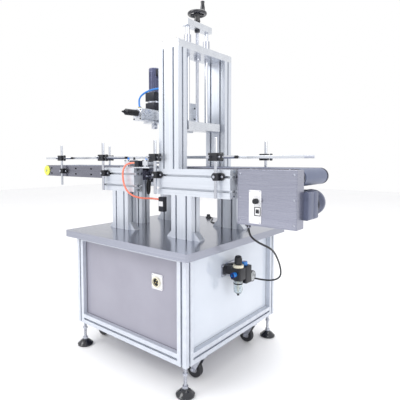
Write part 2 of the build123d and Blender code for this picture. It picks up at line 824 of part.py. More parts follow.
save(conveyor_sides, "conveyor_sides")

# Slider bed under the carrying run, on round cross bars
bed_top = roller_z + roller_radius + roller_gap - 0.3
bed_left = idler_x + roller_radius + 8
bed_right = drive_x - roller_radius - 8
tie_radius = 10
skirt_bottom = roller_z + tie_radius + 0.5
with BuildPart() as conveyor_bed:
    with BuildSketch(Plane.XY.offset(bed_top - 2)):
        with Locations(((bed_left + bed_right) / 2, 0)):
            Rectangle(bed_right - bed_left, side_gap)
    extrude(amount=2)
    for sign in (-1, 1):
        with BuildSketch(Plane.XY.offset(skirt_bottom)):
            with Locations(((bed_left + bed_right) / 2, sign * (side_gap / 2 - 1))):
                Rectangle(bed_right - bed_left, 2)
        extrude(amount=bed_top - 1 - skirt_bottom)
    with BuildSketch(Plane.XZ):
        with Locations((-560, roller_z), (-300, roller_z), (0, roller_z), (320, roller_z), (600, roller_z)):
            Circle(tie_radius)
            Circle(6, mode=Mode.SUBTRACT)
    extrude(amount=side_gap / 2, both=True)
save(conveyor_bed, "conveyor_bed")

with BuildPart() as belt:
    with BuildSketch(Plane.XZ):
        with Locations(((idler_x + drive_x) / 2, roller_z)):
            SlotCenterToCenter(drive_x - idler_x, 2 * belt_outer)
            SlotCenterToCenter(drive_x - idler_x, 2 * (belt_outer - belt_thickness), mode=Mode.SUBTRACT)
    extrude(amount=belt_width / 2, both=True)
save(belt, "belt")


def roller_profile(x, front_reach, rear_reach):
    """Drum with its shaft ends, turning on an axis along Y."""
    with BuildSketch(Plane.XZ) as drum:
        with Locations((x, roller_z)):
            Circle(roller_radius)
    extrude(drum.sketch, amount=side_gap / 2 - 1, both=True)
    with BuildSketch(Plane.XZ.offset(-rear_reach)) as shaft:
        with Locations((x, roller_z)):
            Circle(shaft_end_radius)
    extrude(shaft.sketch, amount=front_reach + rear_reach)


sprocket_y = (box_front + box_back) / 2
with BuildPart() as drive_roller:
    roller_profile(drive_x, -sprocket_y + 8, side_outer + 2)
    with BuildSketch(Plane.XZ.offset(-sprocket_y - 3)):
        with Locations((drive_x, roller_z)):
            RegularPolygon(sprocket_radius, 14)
    extrude(amount=6)
save(drive_roller, "drive_roller")

with BuildPart() as idler_roller:
    roller_profile(idler_x, side_outer + 2, side_outer + 2)
save(idler_roller, "idler_roller")

# ---------------------------------------------------------------- conveyor drive
chain_thickness = 5
box_mid_x = (box_left + box_right) / 2
box_mid_z = (box_bottom + box_top) / 2
panel_x = 652
panel_mid_z = 648
panel_width = 44
panel_height = 110
knob_x = 660
knob_z = 668
rocker_x = 662
rocker_z = 634
rocker_radius = 8.5
knob_shaft = 3
with BuildPart() as drive_box:
    with BuildSketch(Plane.XZ.offset(-box_back)):
        with Locations((box_mid_x, box_mid_z)):
            Rectangle(box_right - box_left, box_top - box_bottom)
    extrude(amount=box_back - box_front)
    chamfer(drive_box.edges().filter_by(Axis.Y), 1.5)
    with BuildSketch(Plane.XZ.offset(-box_back + box_sheet)):
        with Locations((box_mid_x, box_mid_z)):
            Rectangle(box_right - box_left - 2 * box_sheet, box_top - box_bottom - 2 * box_sheet)
    extrude(amount=box_back - box_front - 2 * box_sheet, mode=Mode.SUBTRACT)
    # spacers to the conveyor side plate
    with BuildSketch(Plane.XZ.offset(side_outer)):
        with Locations((box_left + 20, roller_z), (box_left + 110, roller_z)):
            Circle(9)
    extrude(amount=-box_back - side_outer)
    # cable gland under the box
    with BuildSketch(Plane.XY.offset(box_bottom - 12)):
        with Locations((615, -136)):
            RegularPolygon(9, 6)
    extrude(amount=12)
    # openings for the two shafts, the knob and the switch
    with BuildSketch(Plane.XZ.offset(-box_back)):
        with Locations((drive_x, roller_z), (drive_x, motor_axis_z)):
            Circle(12)
    extrude(amount=box_sheet, mode=Mode.SUBTRACT)
    with BuildSketch(Plane.XZ.offset(-box_front)):
        with Locations((knob_x, knob_z)):
            Circle(knob_shaft + 3)
        with Locations((rocker_x, rocker_z)):
            Rectangle(14, 24)
    extrude(amount=-box_sheet, mode=Mode.SUBTRACT)
    # chain round the two sprockets inside the box
    with BuildSketch(Plane.XZ.offset(-sprocket_y - 3)):
        with Locations((drive_x, (roller_z + motor_axis_z) / 2)):
            chain_width = 2 * (sprocket_radius + 0.4 + chain_thickness)
            SlotCenterToCenter(roller_z - motor_axis_z, chain_width, rotation=90)
            SlotCenterToCenter(roller_z - motor_axis_z, chain_width - 2 * chain_thickness, rotation=90,
                               mode=Mode.SUBTRACT)
    extrude(amount=6)
save(drive_box, "drive_box")

motor_rear = 40
motor_shaft = 7
with BuildPart() as gearmotor:
    with BuildSketch(Plane.XZ.offset(-box_back)):
        with Locations((drive_x, motor_axis_z)):
            RectangleRounded(2 * drive_motor_radius, 2 * drive_motor_radius, 8)
    extrude(amount=-46)
    with BuildSketch(Plane.XZ.offset(-box_back - 46)):
        with Locations((drive_x, motor_axis_z)):
            Circle(drive_motor_radius)
    extrude(amount=box_back + 46 - motor_rear)
    with BuildSketch(Plane.XZ.offset(-box_back)):
        with Locations((drive_x, motor_axis_z)):
            Circle(motor_shaft + fit_gap)
    extrude(amount=-30, mode=Mode.SUBTRACT)
save(gearmotor, "gearmotor")

with BuildPart() as motor_sprocket:
    with BuildSketch(Plane.XZ.offset(-box_back - 29)):
        with Locations((drive_x, motor_axis_z)):
            Circle(motor_shaft)
    extrude(amount=29 + box_back - sprocket_y + 8)
    with BuildSketch(Plane.XZ.offset(-sprocket_y - 3)):
        with Locations((drive_x, motor_axis_z)):
            RegularPolygon(sprocket_radius, 14)
    extrude(amount=6)
save(motor_sprocket, "motor_sprocket")

with BuildPart() as speed_panel:
    with BuildSketch(Plane.XZ.offset(-box_front)):
        with Locations((panel_x, panel_mid_z)):
            RectangleRounded(panel_width, panel_height, 3)
        with Locations((knob_x, knob_z)):
            Circle(knob_shaft + fit_gap, mode=Mode.SUBTRACT)
        with Locations((rocker_x, rocker_z)):
            Rectangle(11, 20, mode=Mode.SUBTRACT)
    extrude(amount=3)
save(speed_panel, "speed_panel")

with BuildPart() as speed_knob:
    with BuildSketch(Plane.XZ.offset(-box_front - 6)):
        with Locations((knob_x, knob_z)):
            Circle(knob_shaft)
    extrude(amount=10)
    with BuildSketch(Plane.XZ.offset(-box_front + 3.3)):
        with Locations((knob_x, knob_z)):
            Circle(9)
    extrude(amount=14, taper=4)
    with BuildSketch(Plane.XZ.offset(-box_front + 16)):
        with Locations((knob_x, knob_z + 5)):
            Rectangle(1.4, 8)
    extrude(amount=4, mode=Mode.SUBTRACT)
save(speed_knob, "speed_knob")

with BuildPart() as rocker_switch:
    with BuildSketch(Plane.YZ.offset(rocker_x - 5)):
        with Locations((box_front + 2, rocker_z)):
            Circle(rocker_radius)
    extrude(amount=10)
save(rocker_switch, "rocker_switch")

# ---------------------------------------------------------------- bottle guides
rod_beam_y = beam_face + 17
rod_side_y = side_outer + 16
clamp_half = 14
arm_shift = 15


def rod_places(sign, places):
    """Position of each upright rod on one side; the first stands on the conveyor side plate."""
    return [(x, sign * (rod_side_y if x == min(places) else rod_beam_y)) for x in places]


guide_sides = {"front": (-1, front_rod_x), "rear": (1, rear_rod_x)}
base_z = 744
with BuildPart() as guide_rod_bases:
    for sign, places in guide_sides.values():
        for x, y in rod_places(sign, places):
            back_y = sign * (side_outer if x == min(places) else beam_face)
            with BuildSketch(Plane.XZ.offset(-back_y)):
                with Locations((x, base_z)):
                    SlotOverall(54, 27)
            extrude(amount=-sign * 6)
            with BuildSketch(Plane.XZ.offset(-back_y - sign * 5)):
                with Locations((x - 18, base_z), (x + 18, base_z)):
                    Circle(4)
            extrude(amount=-sign * 4)
            with BuildSketch(Plane.XY.offset(base_z - 13)):
                with Locations((x, y)):
                    Circle(11)
                with Locations((x, (y + back_y) / 2)):
                    Rectangle(16, abs(y - back_y) - 2)
                with Locations((x, y)):
                    Circle(rod_radius + fit_gap, mode=Mode.SUBTRACT)
            extrude(amount=26)
save(guide_rod_bases, "guide_rod_bases")

for side, (sign, places) in guide_sides.items():
    with BuildPart() as guide_posts:
        for x, y in rod_places(sign, places):
            with BuildSketch(Plane.XY.offset(rod_bottom)):
                with Locations((x, y)):
                    Circle(rod_radius)
            extrude(amount=rod_length)
            with BuildSketch(Plane.XY.offset(rail_z - clamp_half)):
                with Locations((x - arm_shift / 2, y)):
                    RectangleRounded(arm_shift + 22, 22, 6)
            extrude(amount=2 * clamp_half)
            # clamp knob on the side away from the arm
            with BuildSketch(Plane.YZ.offset(x + 11)):
                with Locations((y, rail_z)):
                    Circle(4)
            extrude(amount=10)
            with BuildSketch(Plane.YZ.offset(x + 20)):
                with Locations((y, rail_z)):
                    SlotOverall(30, 12, rotation=90)
            extrude(amount=9)
            with BuildSketch(Plane.XZ.offset(-y)):
                with Locations((x - arm_shift, rail_z)):
                    Circle(rod_radius + fit_gap)
            extrude(amount=20, both=True, mode=Mode.SUBTRACT)
    save(guide_posts, f"{side}_guide_posts")

    with BuildPart() as guide_rail:
        rail_y = sign * rail_offset
        with BuildSketch(Plane.XZ.offset(-rail_y + rail_thickness / 2)):
            with Locations(((rail_left + drive_x) / 2, rail_z)):
                Rectangle(drive_x - rail_left, rail_height)
        extrude(amount=-rail_thickness)
        for x, y in rod_places(sign, places):
            inner = rail_y + sign * rail_thickness / 2
            with BuildSketch(Plane.XZ.offset(-inner)):
                with Locations((x - arm_shift, rail_z)):
                    Rectangle(24, rail_height)
            extrude(amount=-sign * 10)
            with BuildSketch(Plane.XZ.offset(-inner - sign * 9)):
                with Locations((x - arm_shift, rail_z)):
                    Circle(rod_radius)
            extrude(amount=-sign * (abs(y) + 30 - abs(inner) - 9))
    save(guide_rail, f"{side}_guide_rail")

# ---------------------------------------------------------------- air supply on the right panel
panel_face = cabinet_right - panel_inset + panel_thickness / 2
unit_x = 521
unit_y = -50
unit_width = 42
valve_y = unit_y + unit_width + 2
air_knob_bottom = 412
air_shaft = 4
with BuildPart() as regulator:
    # mounting bracket
    with BuildSketch(Plane.YZ.offset(panel_face)):
        with Locations((-28, 385)):
            Rectangle(110, 46)
    extrude(amount=4)
    with BuildSketch(Plane.YZ.offset(panel_face + 4)):
        with Locations((unit_y, 385), (valve_y, 385)):
            Rectangle(24, 30)
    extrude(amount=unit_x - unit_width / 2 - panel_face - 4)
    # filter regulator: body, clear bowl, bonnet and ring
    with BuildSketch(Plane.XY.offset(356)):
        with Locations((unit_x, unit_y)):
            RectangleRounded(unit_width, unit_width, 4)
    extrude(amount=44)
    with BuildSketch(Plane.XY.offset(352)):
        with Locations((unit_x, unit_y)):
            Circle(19)
    extrude(amount=4)
    with BuildSketch(Plane.XY.offset(302)):
        with Locations((unit_x, unit_y)):
            Circle(17)
    extrude(amount=50)
    with BuildSketch(Plane.XY.offset(294)):
        with Locations((unit_x, unit_y)):
            Circle(5)
    extrude(amount=8)
    with BuildSketch(Plane.XY.offset(400)):
        with Locations((unit_x, unit_y)):
            Circle(20)
    extrude(amount=air_knob_bottom - 0.4 - 400)
    # shut-off valve and gauge
    with BuildSketch(Plane.XY.offset(336)):
        with Locations((unit_x, valve_y)):
            RectangleRounded(unit_width, unit_width, 4)
    extrude(amount=64)
    with BuildSketch(Plane.XY.offset(400)):
        with Locations((unit_x, valve_y)):
            Circle(12)
    extrude(amount=14)
    with BuildSketch(Plane.XZ.offset(-(unit_y + unit_width / 2))):
        with Locations((unit_x, 378)):
            Circle(12)
    extrude(amount=-2)
    with BuildSketch(Plane.XZ.offset(-(valve_y + unit_width / 2))):
        with Locations((unit_x, 349)):
            Circle(7)
    extrude(amount=-20)
    with BuildSketch(Plane.YZ.offset(unit_x - 12)):
        with Locations((38, 349)):
            Circle(21.5)
    extrude(amount=24)
    # inlet fitting
    with BuildSketch(Plane.XZ.offset(-(unit_y - unit_width / 2))):
        with Locations((unit_x, 378)):
            Circle(9)
    extrude(amount=22)
    with BuildSketch(Plane.XY.offset(air_knob_bottom - 20)):
        with Locations((unit_x, unit_y)):
            Circle(air_shaft + fit_gap)
    extrude(amount=30, mode=Mode.SUBTRACT)
save(regulator, "regulator")

with BuildPart() as regulator_knob:
    with BuildSketch(Plane.XY.offset(air_knob_bottom)):
        with Locations((unit_x, unit_y)):
            Circle(14)
    extrude(amount=32, taper=3)
    fillet(regulator_knob.edges().group_by(Axis.Z)[-1], 4)
    with BuildSketch(Plane.XY.offset(air_knob_bottom)):
        with Locations((unit_x, unit_y)):
            Circle(air_shaft)
    extrude(amount=-18)
save(regulator_knob, "regulator_knob")

# ---------------------------------------------------------------- bottle stops
stop_x = (35, 145)
stop_z = 790
stop_rod_radius = 4
stop_plate_top = beam_top + 5
stop_front = -165
stop_back = -112
manifold_x = 102
with BuildPart() as stop_cylinders:
    with BuildSketch(Plane.XY.offset(beam_top)):
        with Locations((85, -138)):
            Rectangle(180, 64)
    extrude(amount=stop_plate_top - beam_top)
    with BuildSketch(Plane.XZ.offset(-stop_back)):
        with Locations(*[(x, stop_plate_top + 15) for x in stop_x]):
            Rectangle(30, 30)
    extrude(amount=stop_back - stop_front)
    chamfer(stop_cylinders.edges().filter_by(Axis.Y), 1.5)
    with BuildSketch(Plane.XY.offset(stop_plate_top)):
        with Locations((manifold_x, -160)):
            Rectangle(24, 24)
    extrude(amount=26)
    with BuildSketch(Plane.YZ.offset(manifold_x - 12)):
        with Locations((-160, stop_z)):
            RegularPolygon(7, 6)
    extrude(amount=-8)
    with BuildSketch(Plane.XY.offset(stop_plate_top + 30)):
        with Locations(*[(x, y) for x in stop_x for y in (stop_front + 10, stop_back - 10)]):
            Circle(5)
    extrude(amount=10)
    with BuildSketch(Plane.XZ.offset(-stop_back)):
        with Locations(*[(x, stop_z) for x in stop_x]):
            Circle(stop_rod_radius + fit_gap)
    extrude(amount=45, mode=Mode.SUBTRACT)
save(stop_cylinders, "stop_cylinders")

stop_pad_y = -62
with BuildPart() as stop_rods:
    with BuildSketch(Plane.XZ.offset(-stop_pad_y)):
        with Locations(*[(x, stop_z) for x in stop_x]):
            Circle(stop_rod_radius)
    extrude(amount=stop_pad_y - stop_back + 42)
    with BuildSketch(Plane.XZ.offset(-stop_pad_y)):
        with Locations(*[(x, stop_z) for x in stop_x]):
            RectangleRounded(20, 18, 3)
    extrude(amount=-8)
save(stop_rods, "stop_rods")

# ---------------------------------------------------------------- small fittings
gland_y = 114
gland_z = 315
link_x = 400
link_y = 203
valve_left = 185
hook_x = 116
with BuildPart() as panel_fittings:
    # socket plate on the front panel
    front_face = -half_depth + panel_inset - panel_thickness / 2
    with BuildSketch(Plane.XZ.offset(-front_face)):
        with Locations((338, 368)):
            RectangleRounded(52, 56, 3)
    extrude(amount=4)
    with BuildSketch(Plane.XZ.offset(-front_face + 4)):
        with Locations((338, 368)):
            Circle(19)
            Circle(15, mode=Mode.SUBTRACT)
    extrude(amount=8)
    # cable gland on the right panel
    with BuildSketch(Plane.YZ.offset(panel_face)):
        with Locations((gland_y, gland_z)):
            RegularPolygon(11, 6)
    extrude(amount=8)
    with BuildSketch(Plane.YZ.offset(panel_face + 8)):
        with Locations((gland_y, gland_z)):
            Circle(8)
    extrude(amount=12)
    # connector block and cable inlet on the worktop
    with BuildSketch(Plane.XY.offset(worktop_z)):
        with Locations((link_x, link_y)):
            RectangleRounded(30, 22, 3)
        with Locations((112, 318)):
            Circle(14)
    extrude(amount=18)
    # valve hanging from the conveyor side, and the hook for the sensor lead
    with BuildSketch(Plane.XZ.offset(side_outer)):
        with Locations((valve_left + 14, 670)):
            Rectangle(18, 150)
        with Locations((hook_x, 733)):
            Circle(3)
    extrude(amount=3)
    with BuildSketch(Plane.XZ.offset(side_outer + 3)):
        with Locations((hook_x, 733)):
            Circle(3)
    extrude(amount=20)
    with BuildSketch(Plane.XY.offset(590)):
        with Locations((valve_left + 14, -side_outer - 14)):
            RectangleRounded(28, 22, 3)
    extrude(amount=60)
save(panel_fittings, "panel_fittings")


def corner_radii(points):
    """Arc at each corner of a route, as large as its two runs allow."""
    radii = []
    for before, corner, after in zip(points, points[1:], points[2:]):
        run_in = Vector(*corner) - Vector(*before)
        run_out = Vector(*after) - Vector(*corner)
        half_turn = math.radians(run_in.get_angle(run_out)) / 2
        radii.append(0.45 * min(run_in.length, run_out.length) / math.tan(half_turn))
    return radii


def lay_cord(name, points, radius):
    """Plain tube along a cord's route, written as its own part."""
    radii = corner_radii(points)
    with BuildPart() as cord:
        with BuildLine() as route:
            FilletPolyline(*points, radius=radii)
        start = Vector(*points[0])
        with BuildSketch(Plane(origin=start, z_dir=Vector(*points[1]) - start)):
            Circle(radius)
        sweep(path=route.wires()[0])
    length = route.wires()[0].length
    share = cord.part.volume / (math.pi * radius ** 2 * length)
    print(name, "length", round(length), "volume share", round(share, 4),
          "radii", [round(value / (2 * radius), 1) for value in radii])
    save(cord, name)


lay_cord("main_cable", [
    (615, -136, 572.7), (616, -134.5, 548), (631, -119, 527), (648, -98, 512), (659, -68, 497),
    (658, -33, 476),
    (650, 6, 447), (641, 45, 413), (630, 80, 377), (614, 108, 347), (588, 128, 325), (557, 134, 313),
    (529, 126, 312), (507.4, 114.2, 315), (486.1, 114, 315)], 3.5)

lay_cord("table_cable", [
    (126.7, 316, 508), (148, 306, 507.5), (166, 280, 506.8), (180, 245, 506.8), (205, 212, 506.8),
    (246, 188, 506.8), (291, 180, 506.8), (332, 186, 507), (363, 199.5, 508.5), (384.4, 203, 510)], 2.5)

lay_cord("head_hose", [
    (head_x - 2, housing_front + 16, 1036.7), (head_x - 4, -93, 1054), (39, -91, 1075), (52, -74,
    1096), (76, -45, 1112),
    (104, -20, 1117), (131, -5, 1105), (149, 0, 1082), (157, 0, 1055), (158, 0, 1026)], 4)

lay_cord("stop_hose", [
    (81.4, -160, 790), (64, -161.5, 790), (50, -182, 784), (42, -193, 763), (42, -195, 732), (48,
    -195, 701),
    (63, -191, 671), (86, -176, 650), (112, -150, 641), (140, -127, 641), (163, -118.5, 639),
    (184.8, -118, 639)], 4)

# Spare length of the sensor lead, folded and tied on its hook
with BuildPart() as sensor_hank:
    with BuildSketch(Plane.XZ.offset(side_outer + 7)):
        with Locations((hook_x, 689.4)):
            SlotOverall(80, 22, rotation=90)
    extrude(amount=14)
    fillet(sensor_hank.edges(), 4)
save(sensor_hank, "sensor_hank")
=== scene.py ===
import bpy
import bmesh
import math
from mathutils import Matrix, Vector


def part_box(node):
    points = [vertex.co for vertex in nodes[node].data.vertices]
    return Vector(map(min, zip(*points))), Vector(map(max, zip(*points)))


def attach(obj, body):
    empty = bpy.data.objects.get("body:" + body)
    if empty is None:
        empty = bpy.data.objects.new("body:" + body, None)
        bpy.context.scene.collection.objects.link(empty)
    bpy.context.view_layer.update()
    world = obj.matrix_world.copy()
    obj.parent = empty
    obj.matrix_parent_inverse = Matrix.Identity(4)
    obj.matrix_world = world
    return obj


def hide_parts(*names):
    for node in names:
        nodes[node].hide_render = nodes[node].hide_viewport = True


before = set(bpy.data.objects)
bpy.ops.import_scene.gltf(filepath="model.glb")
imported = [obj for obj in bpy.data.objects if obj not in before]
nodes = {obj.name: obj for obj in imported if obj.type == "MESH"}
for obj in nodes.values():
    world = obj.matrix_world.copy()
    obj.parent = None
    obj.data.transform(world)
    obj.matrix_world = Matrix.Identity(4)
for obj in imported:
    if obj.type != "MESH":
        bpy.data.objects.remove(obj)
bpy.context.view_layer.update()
print("frame loaded:", len(nodes), "nodes")

mm = 0.001
up = Vector((0, 0, 1))
along = Vector((1, 0, 0))
across = Vector((0, 1, 0))


def bounds(node):
    low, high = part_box(node)
    return low, high, (low + high) / 2


# ---- materials: one function for nodes, one for colour, one for a patterned surface

def linear(hexText):
    values = [int(hexText[i:i + 2], 16) / 255 for i in (1, 3, 5)]
    return tuple(v / 12.92 if v <= 0.04045 else ((v + 0.055) / 1.055) ** 2.4 for v in values) + (1.0,)


def addNode(tree, kind, inputs=None, **settings):
    node = tree.nodes.new(kind)
    for name, value in settings.items():
        setattr(node, name, value)
    for name, value in (inputs or {}).items():
        if isinstance(value, bpy.types.NodeSocket):
            tree.links.new(value, node.inputs[name])
        else:
            node.inputs[name].default_value = value
    return node


def perAxis(grain):
    # noise scale from a grain size in mm, one number or one per axis
    return [1 / (g * mm) for g in (grain if isinstance(grain, tuple) else (grain,) * 3)]


def surface(name, dark, light, roughness, grain, spread=0.06, metallic=0.0, bump=0.0, fine=None, **sockets):
    # dark and light are the two ends of the colour's drift, grain the size of a patch in mm per axis,
    # fine the size of the small grain that gives the bump and the roughness its texture
    material = bpy.data.materials.new(name)
    material.use_nodes = True
    tree = material.node_tree
    shader = tree.nodes["Principled BSDF"]
    place = addNode(tree, "ShaderNodeTexCoord").outputs["Object"]
    patches = addNode(tree, "ShaderNodeMapping", {"Vector": place, "Scale": perAxis(grain)})
    drift = addNode(tree, "ShaderNodeTexNoise", {"Vector": patches.outputs["Vector"], "Scale": 1.0,
        "Detail": 3.0, "Roughness": 0.55})
    tint = addNode(tree, "ShaderNodeMix", data_type="RGBA")
    tree.links.new(drift.outputs["Fac"], tint.inputs["Factor"])
    tint.inputs[6].default_value = linear(dark)
    tint.inputs[7].default_value = linear(light)
    tree.links.new(tint.outputs[2], shader.inputs["Base Color"])
    small = addNode(tree, "ShaderNodeMapping", {"Vector": place, "Scale": perAxis(fine or grain)})
    grit = addNode(tree, "ShaderNodeTexNoise", {"Vector": small.outputs["Vector"], "Scale": 1.0,
        "Detail": 2.0})
    worn = addNode(tree, "ShaderNodeMapRange", {"Value": grit.outputs["Fac"], "From Min": 0.25,
        "From Max": 0.75, "To Min": max(0.02, roughness - spread), "To Max": min(1.0, roughness + spread)})
    tree.links.new(worn.outputs["Result"], shader.inputs["Roughness"])
    if bump:
        relief = addNode(tree, "ShaderNodeBump", {"Height": grit.outputs["Fac"], "Strength": 0.6,
            "Distance": bump * mm})
        tree.links.new(relief.outputs["Normal"], shader.inputs["Normal"])
    shader.inputs["Metallic"].default_value = metallic
    for socket, value in sockets.items():
        shader.inputs[socket.replace("_", " ")].default_value = value
    return material


# Clear-anodised extrusion: pale, slightly blue, with die lines along its length
anodisedUpright = surface("anodisedAluminiumUpright", "#C2C7D0", "#DCE1E9", 0.36, (6, 6, 400), 0.07, 0.55,
    0.010, (0.9, 0.9, 60))
anodisedLong = surface("anodisedAluminiumLong", "#C2C7D0", "#DCE1E9", 0.36, (400, 6, 6), 0.07, 0.55, 0.010,
    (60, 0.9, 0.9))
anodisedFrame = surface("anodisedAluminiumFrame", "#BDC2CC", "#D8DDE6", 0.38, 30, 0.07, 0.5, 0.006, 2)
# Milled plate: even tool marks, brighter than the extrusion
milledPlate = surface("milledAluminium", "#C2C6CE", "#E2E5EA", 0.30, 40, 0.08, 0.8, 0.008, (1.2, 30, 1.2))
# Stainless sheet brushed along the belt, reflective enough to mirror what stands on it
brushedSheet = surface("brushedStainless", "#8A8D9A", "#A9ACB8", 0.20, (300, 2.5, 2.5), 0.07, 0.9, 0.004,
    (80, 0.7, 0.7))
brushedCover = surface("brushedStainlessCover", "#8C8E9E", "#A8AAB8", 0.27, (200, 60, 3), 0.07, 0.85, 0.005,
    (70, 1, 0.8))
# Cold-rolled stainless of the conveyor's sides, darker and less even than the table
sideSheet = surface("rolledStainlessSide", "#6F6F7B", "#8E8F9B", 0.24, (180, 20, 6), 0.08, 0.9, 0.006,
    (40, 1, 1))
# Powder-coated sheet with a faint orange peel
greyPanel = surface("powderCoatGrey", "#8B8A97", "#9D9CA9", 0.42, 160, 0.05, 0.0, 0.02, 2.2,
    Coat_Weight=0.15)
# Lacquered sheet: nearly flat, high gloss
glossPanel = surface("lacqueredSheet", "#C3CAD6", "#D4DAE4", 0.10, 220, 0.03, 0.0, 0.01, 9, Coat_Weight=0.6,
    Coat_Roughness=0.04)
# Moulded ABS, spark-eroded texture
blackMoulding = surface("mouldedAbsBlack", "#0E0F14", "#1B1D26", 0.42, 20, 0.08, 0.0, 0.02, 0.8)
# Polished phenolic of the knobs and the handwheel: deep black with a blue sheen
blackPhenolic = surface("phenolicBlack", "#0B0C12", "#171A26", 0.16, 25, 0.05, 0.0, 0.004, 3,
    Coat_Weight=0.5, Coat_Roughness=0.06)
# Motor enamel over a casting
slateEnamel = surface("slateEnamelCasting", "#4C5268", "#646A82", 0.34, 25, 0.08, 0.15, 0.03, 1.5)
darkEnamel = surface("darkAnodisedBlack", "#15171F", "#272A36", 0.34, 18, 0.08, 0.3, 0.01, 1)
plumEnamel = surface("motorCanSlate", "#4A4D6B", "#666A88", 0.32, 15, 0.08, 0.25, 0.01, 1)
# Polyurethane belt: smooth, slightly soiled
beltSkin = surface("polyurethaneBelt", "#525A72", "#666E86", 0.45, 60, 0.08, 0.0, 0.03, 1.4)
tyreRubber = surface("wheelRubber", "#1A1B20", "#2B2C33", 0.6, 8, 0.1, 0.0, 0.03, 0.8)
hubNylon = surface("hubNylon", "#9C9DA6", "#B4B5BE", 0.45, 10, 0.06, 0.0, 0.01, 1)
# Ground and plated steel: rods, screws, zinc plates
groundSteel = surface("groundSteel", "#B9BCC6", "#DADDE4", 0.14, (3, 3, 60), 0.06, 1.0, 0.002,
    (0.6, 0.6, 8))
zincPlate = surface("zincPlatedSteel", "#A7AAB4", "#C9CCD6", 0.28, 12, 0.09, 1.0, 0.004, 1.2)
blackOxide = surface("blackOxideScrew", "#121318", "#23252D", 0.35, 3, 0.08, 0.7, 0.004, 0.5)
brass = surface("nickelBrass", "#B9A66C", "#D6C68F", 0.26, 6, 0.07, 1.0, 0.003, 0.6)
whiteAbs = surface("mouldedAbsWhite", "#DADADD", "#EDEDEF", 0.38, 30, 0.05, 0.0, 0.01, 1)
creamNylon = surface("mouldedNylonCream", "#D8D2BC", "#E9E4D0", 0.36, 10, 0.05, 0.0, 0.01, 1)
yellowCap = surface("mouldedCapYellow", "#D6DE3C", "#ECF26A", 0.32, 14, 0.05, 0.0, 0.01, 1)
paleCap = surface("mouldedCapPaleYellow", "#E9E58E", "#F5F1AC", 0.34, 14, 0.05, 0.0, 0.01, 1)
blueHose = surface("polyurethaneHoseBlue", "#1667C4", "#3C95E6", 0.16, 12, 0.05, 0.0, 0.004, 2,
    Coat_Weight=0.3)
navyHose = surface("polyurethaneHoseNavy", "#14207A", "#22349C", 0.18, 12, 0.05, 0.0, 0.004, 2,
    Coat_Weight=0.3)
orangeHose = surface("polyurethaneHoseOrange", "#E8664C", "#F79A84", 0.22, 14, 0.05, 0.0, 0.004, 2,
    Coat_Weight=0.3)
blackCable = surface("pvcCableBlack", "#0D0E12", "#1C1D24", 0.38, 8, 0.06, 0.0, 0.006, 1)
redPlastic = surface("mouldedNylonRed", "#B02A22", "#CC3E33", 0.34, 6, 0.05, 0.0, 0.004, 1)
rubberSeal = surface("epdmSeal", "#24262E", "#353843", 0.6, 10, 0.08, 0.0, 0.01, 1)
softRubber = surface("siliconeChuck", "#8C8F9C", "#A8ABB8", 0.5, 8, 0.06, 0.0, 0.01, 1)
railPlastic = surface("polyethyleneRail", "#B4B7C3", "#CFD2DC", 0.35, (80, 8, 8), 0.06, 0.1, 0.01,
    (30, 1, 1))
inkBlack = surface("screenPrintBlack", "#15161B", "#22242B", 0.5, 6, 0.05)
# Clear polycarbonate of the filter bowl
clearBowl = surface("polycarbonateClear", "#E4EEF2", "#F3F9FB", 0.06, 14, 0.03, 0.0, 0.0, None,
    Transmission_Weight=0.85, IOR=1.58)
gaugeGlass = surface("gaugeWindow", "#F0F5F8", "#FAFCFD", 0.04, 14, 0.02, 0.0, 0.0, None,
    Transmission_Weight=0.9, IOR=1.49)

cadFinish = { "cabinet_frame": anodisedFrame, "worktop": brushedSheet, "cabinet_panels": greyPanel,
    "right_panel": glossPanel, "rear_door": greyPanel, "door_hinges": zincPlate,
    "control_modules": whiteAbs, "levelling_feet": blackPhenolic, "caster_plates": zincPlate,
    "beam_posts": anodisedUpright, "cross_beams": anodisedLong, "gantry_columns": anodisedUpright,
    "top_plate": milledPlate, "lift_bearings": zincPlate, "crosshead": milledPlate,
    "guide_shafts": groundSteel, "lift_screw": groundSteel, "handwheel": blackPhenolic,
    "crank_handle": blackPhenolic, "carriage_plate": milledPlate, "head_cylinder": milledPlate,
    "head_arm": milledPlate, "head_housing": milledPlate, "head_gearbox": darkEnamel,
    "head_motor": plumEnamel, "spindle": groundSteel, "conveyor_sides": sideSheet,
    "conveyor_bed": brushedSheet, "belt": beltSkin, "drive_roller": groundSteel,
    "idler_roller": groundSteel, "drive_box": brushedCover, "gearmotor": slateEnamel,
    "motor_sprocket": zincPlate, "speed_panel": whiteAbs, "speed_knob": blackMoulding,
    "rocker_switch": blackMoulding, "guide_rod_bases": blackMoulding, "front_guide_posts": groundSteel,
    "rear_guide_posts": groundSteel, "front_guide_rail": railPlastic, "rear_guide_rail": railPlastic,
    "regulator": blackMoulding, "regulator_knob": blackMoulding, "stop_cylinders": milledPlate,
    "stop_rods": groundSteel, "panel_fittings": blackMoulding, }
for name, node in nodes.items():
    finish = cadFinish.get(name, zincPlate)
    if name.startswith("caster_wheel"):
        finish = tyreRubber
    node.data.materials.clear()
    node.data.materials.append(finish)
print("materials made")


# ---- small mesh parts; each returns a bmesh with its base at the origin and its axis along Z

def blockPart(low, high, bevel=0.8 * mm, segments=2):
    bm = bmesh.new()
    low, high = Vector(low), Vector(high)
    size = high - low
    bmesh.ops.create_cube(bm, size=1, matrix=Matrix.Translation((low + high) / 2) @ Matrix.Diagonal((*size,
        1)))
    if bevel:
        bmesh.ops.bevel(bm, geom=bm.edges[:], offset=min(bevel, min(size) * 0.45), segments=segments,
            affect="EDGES", profile=0.6)
    return bm


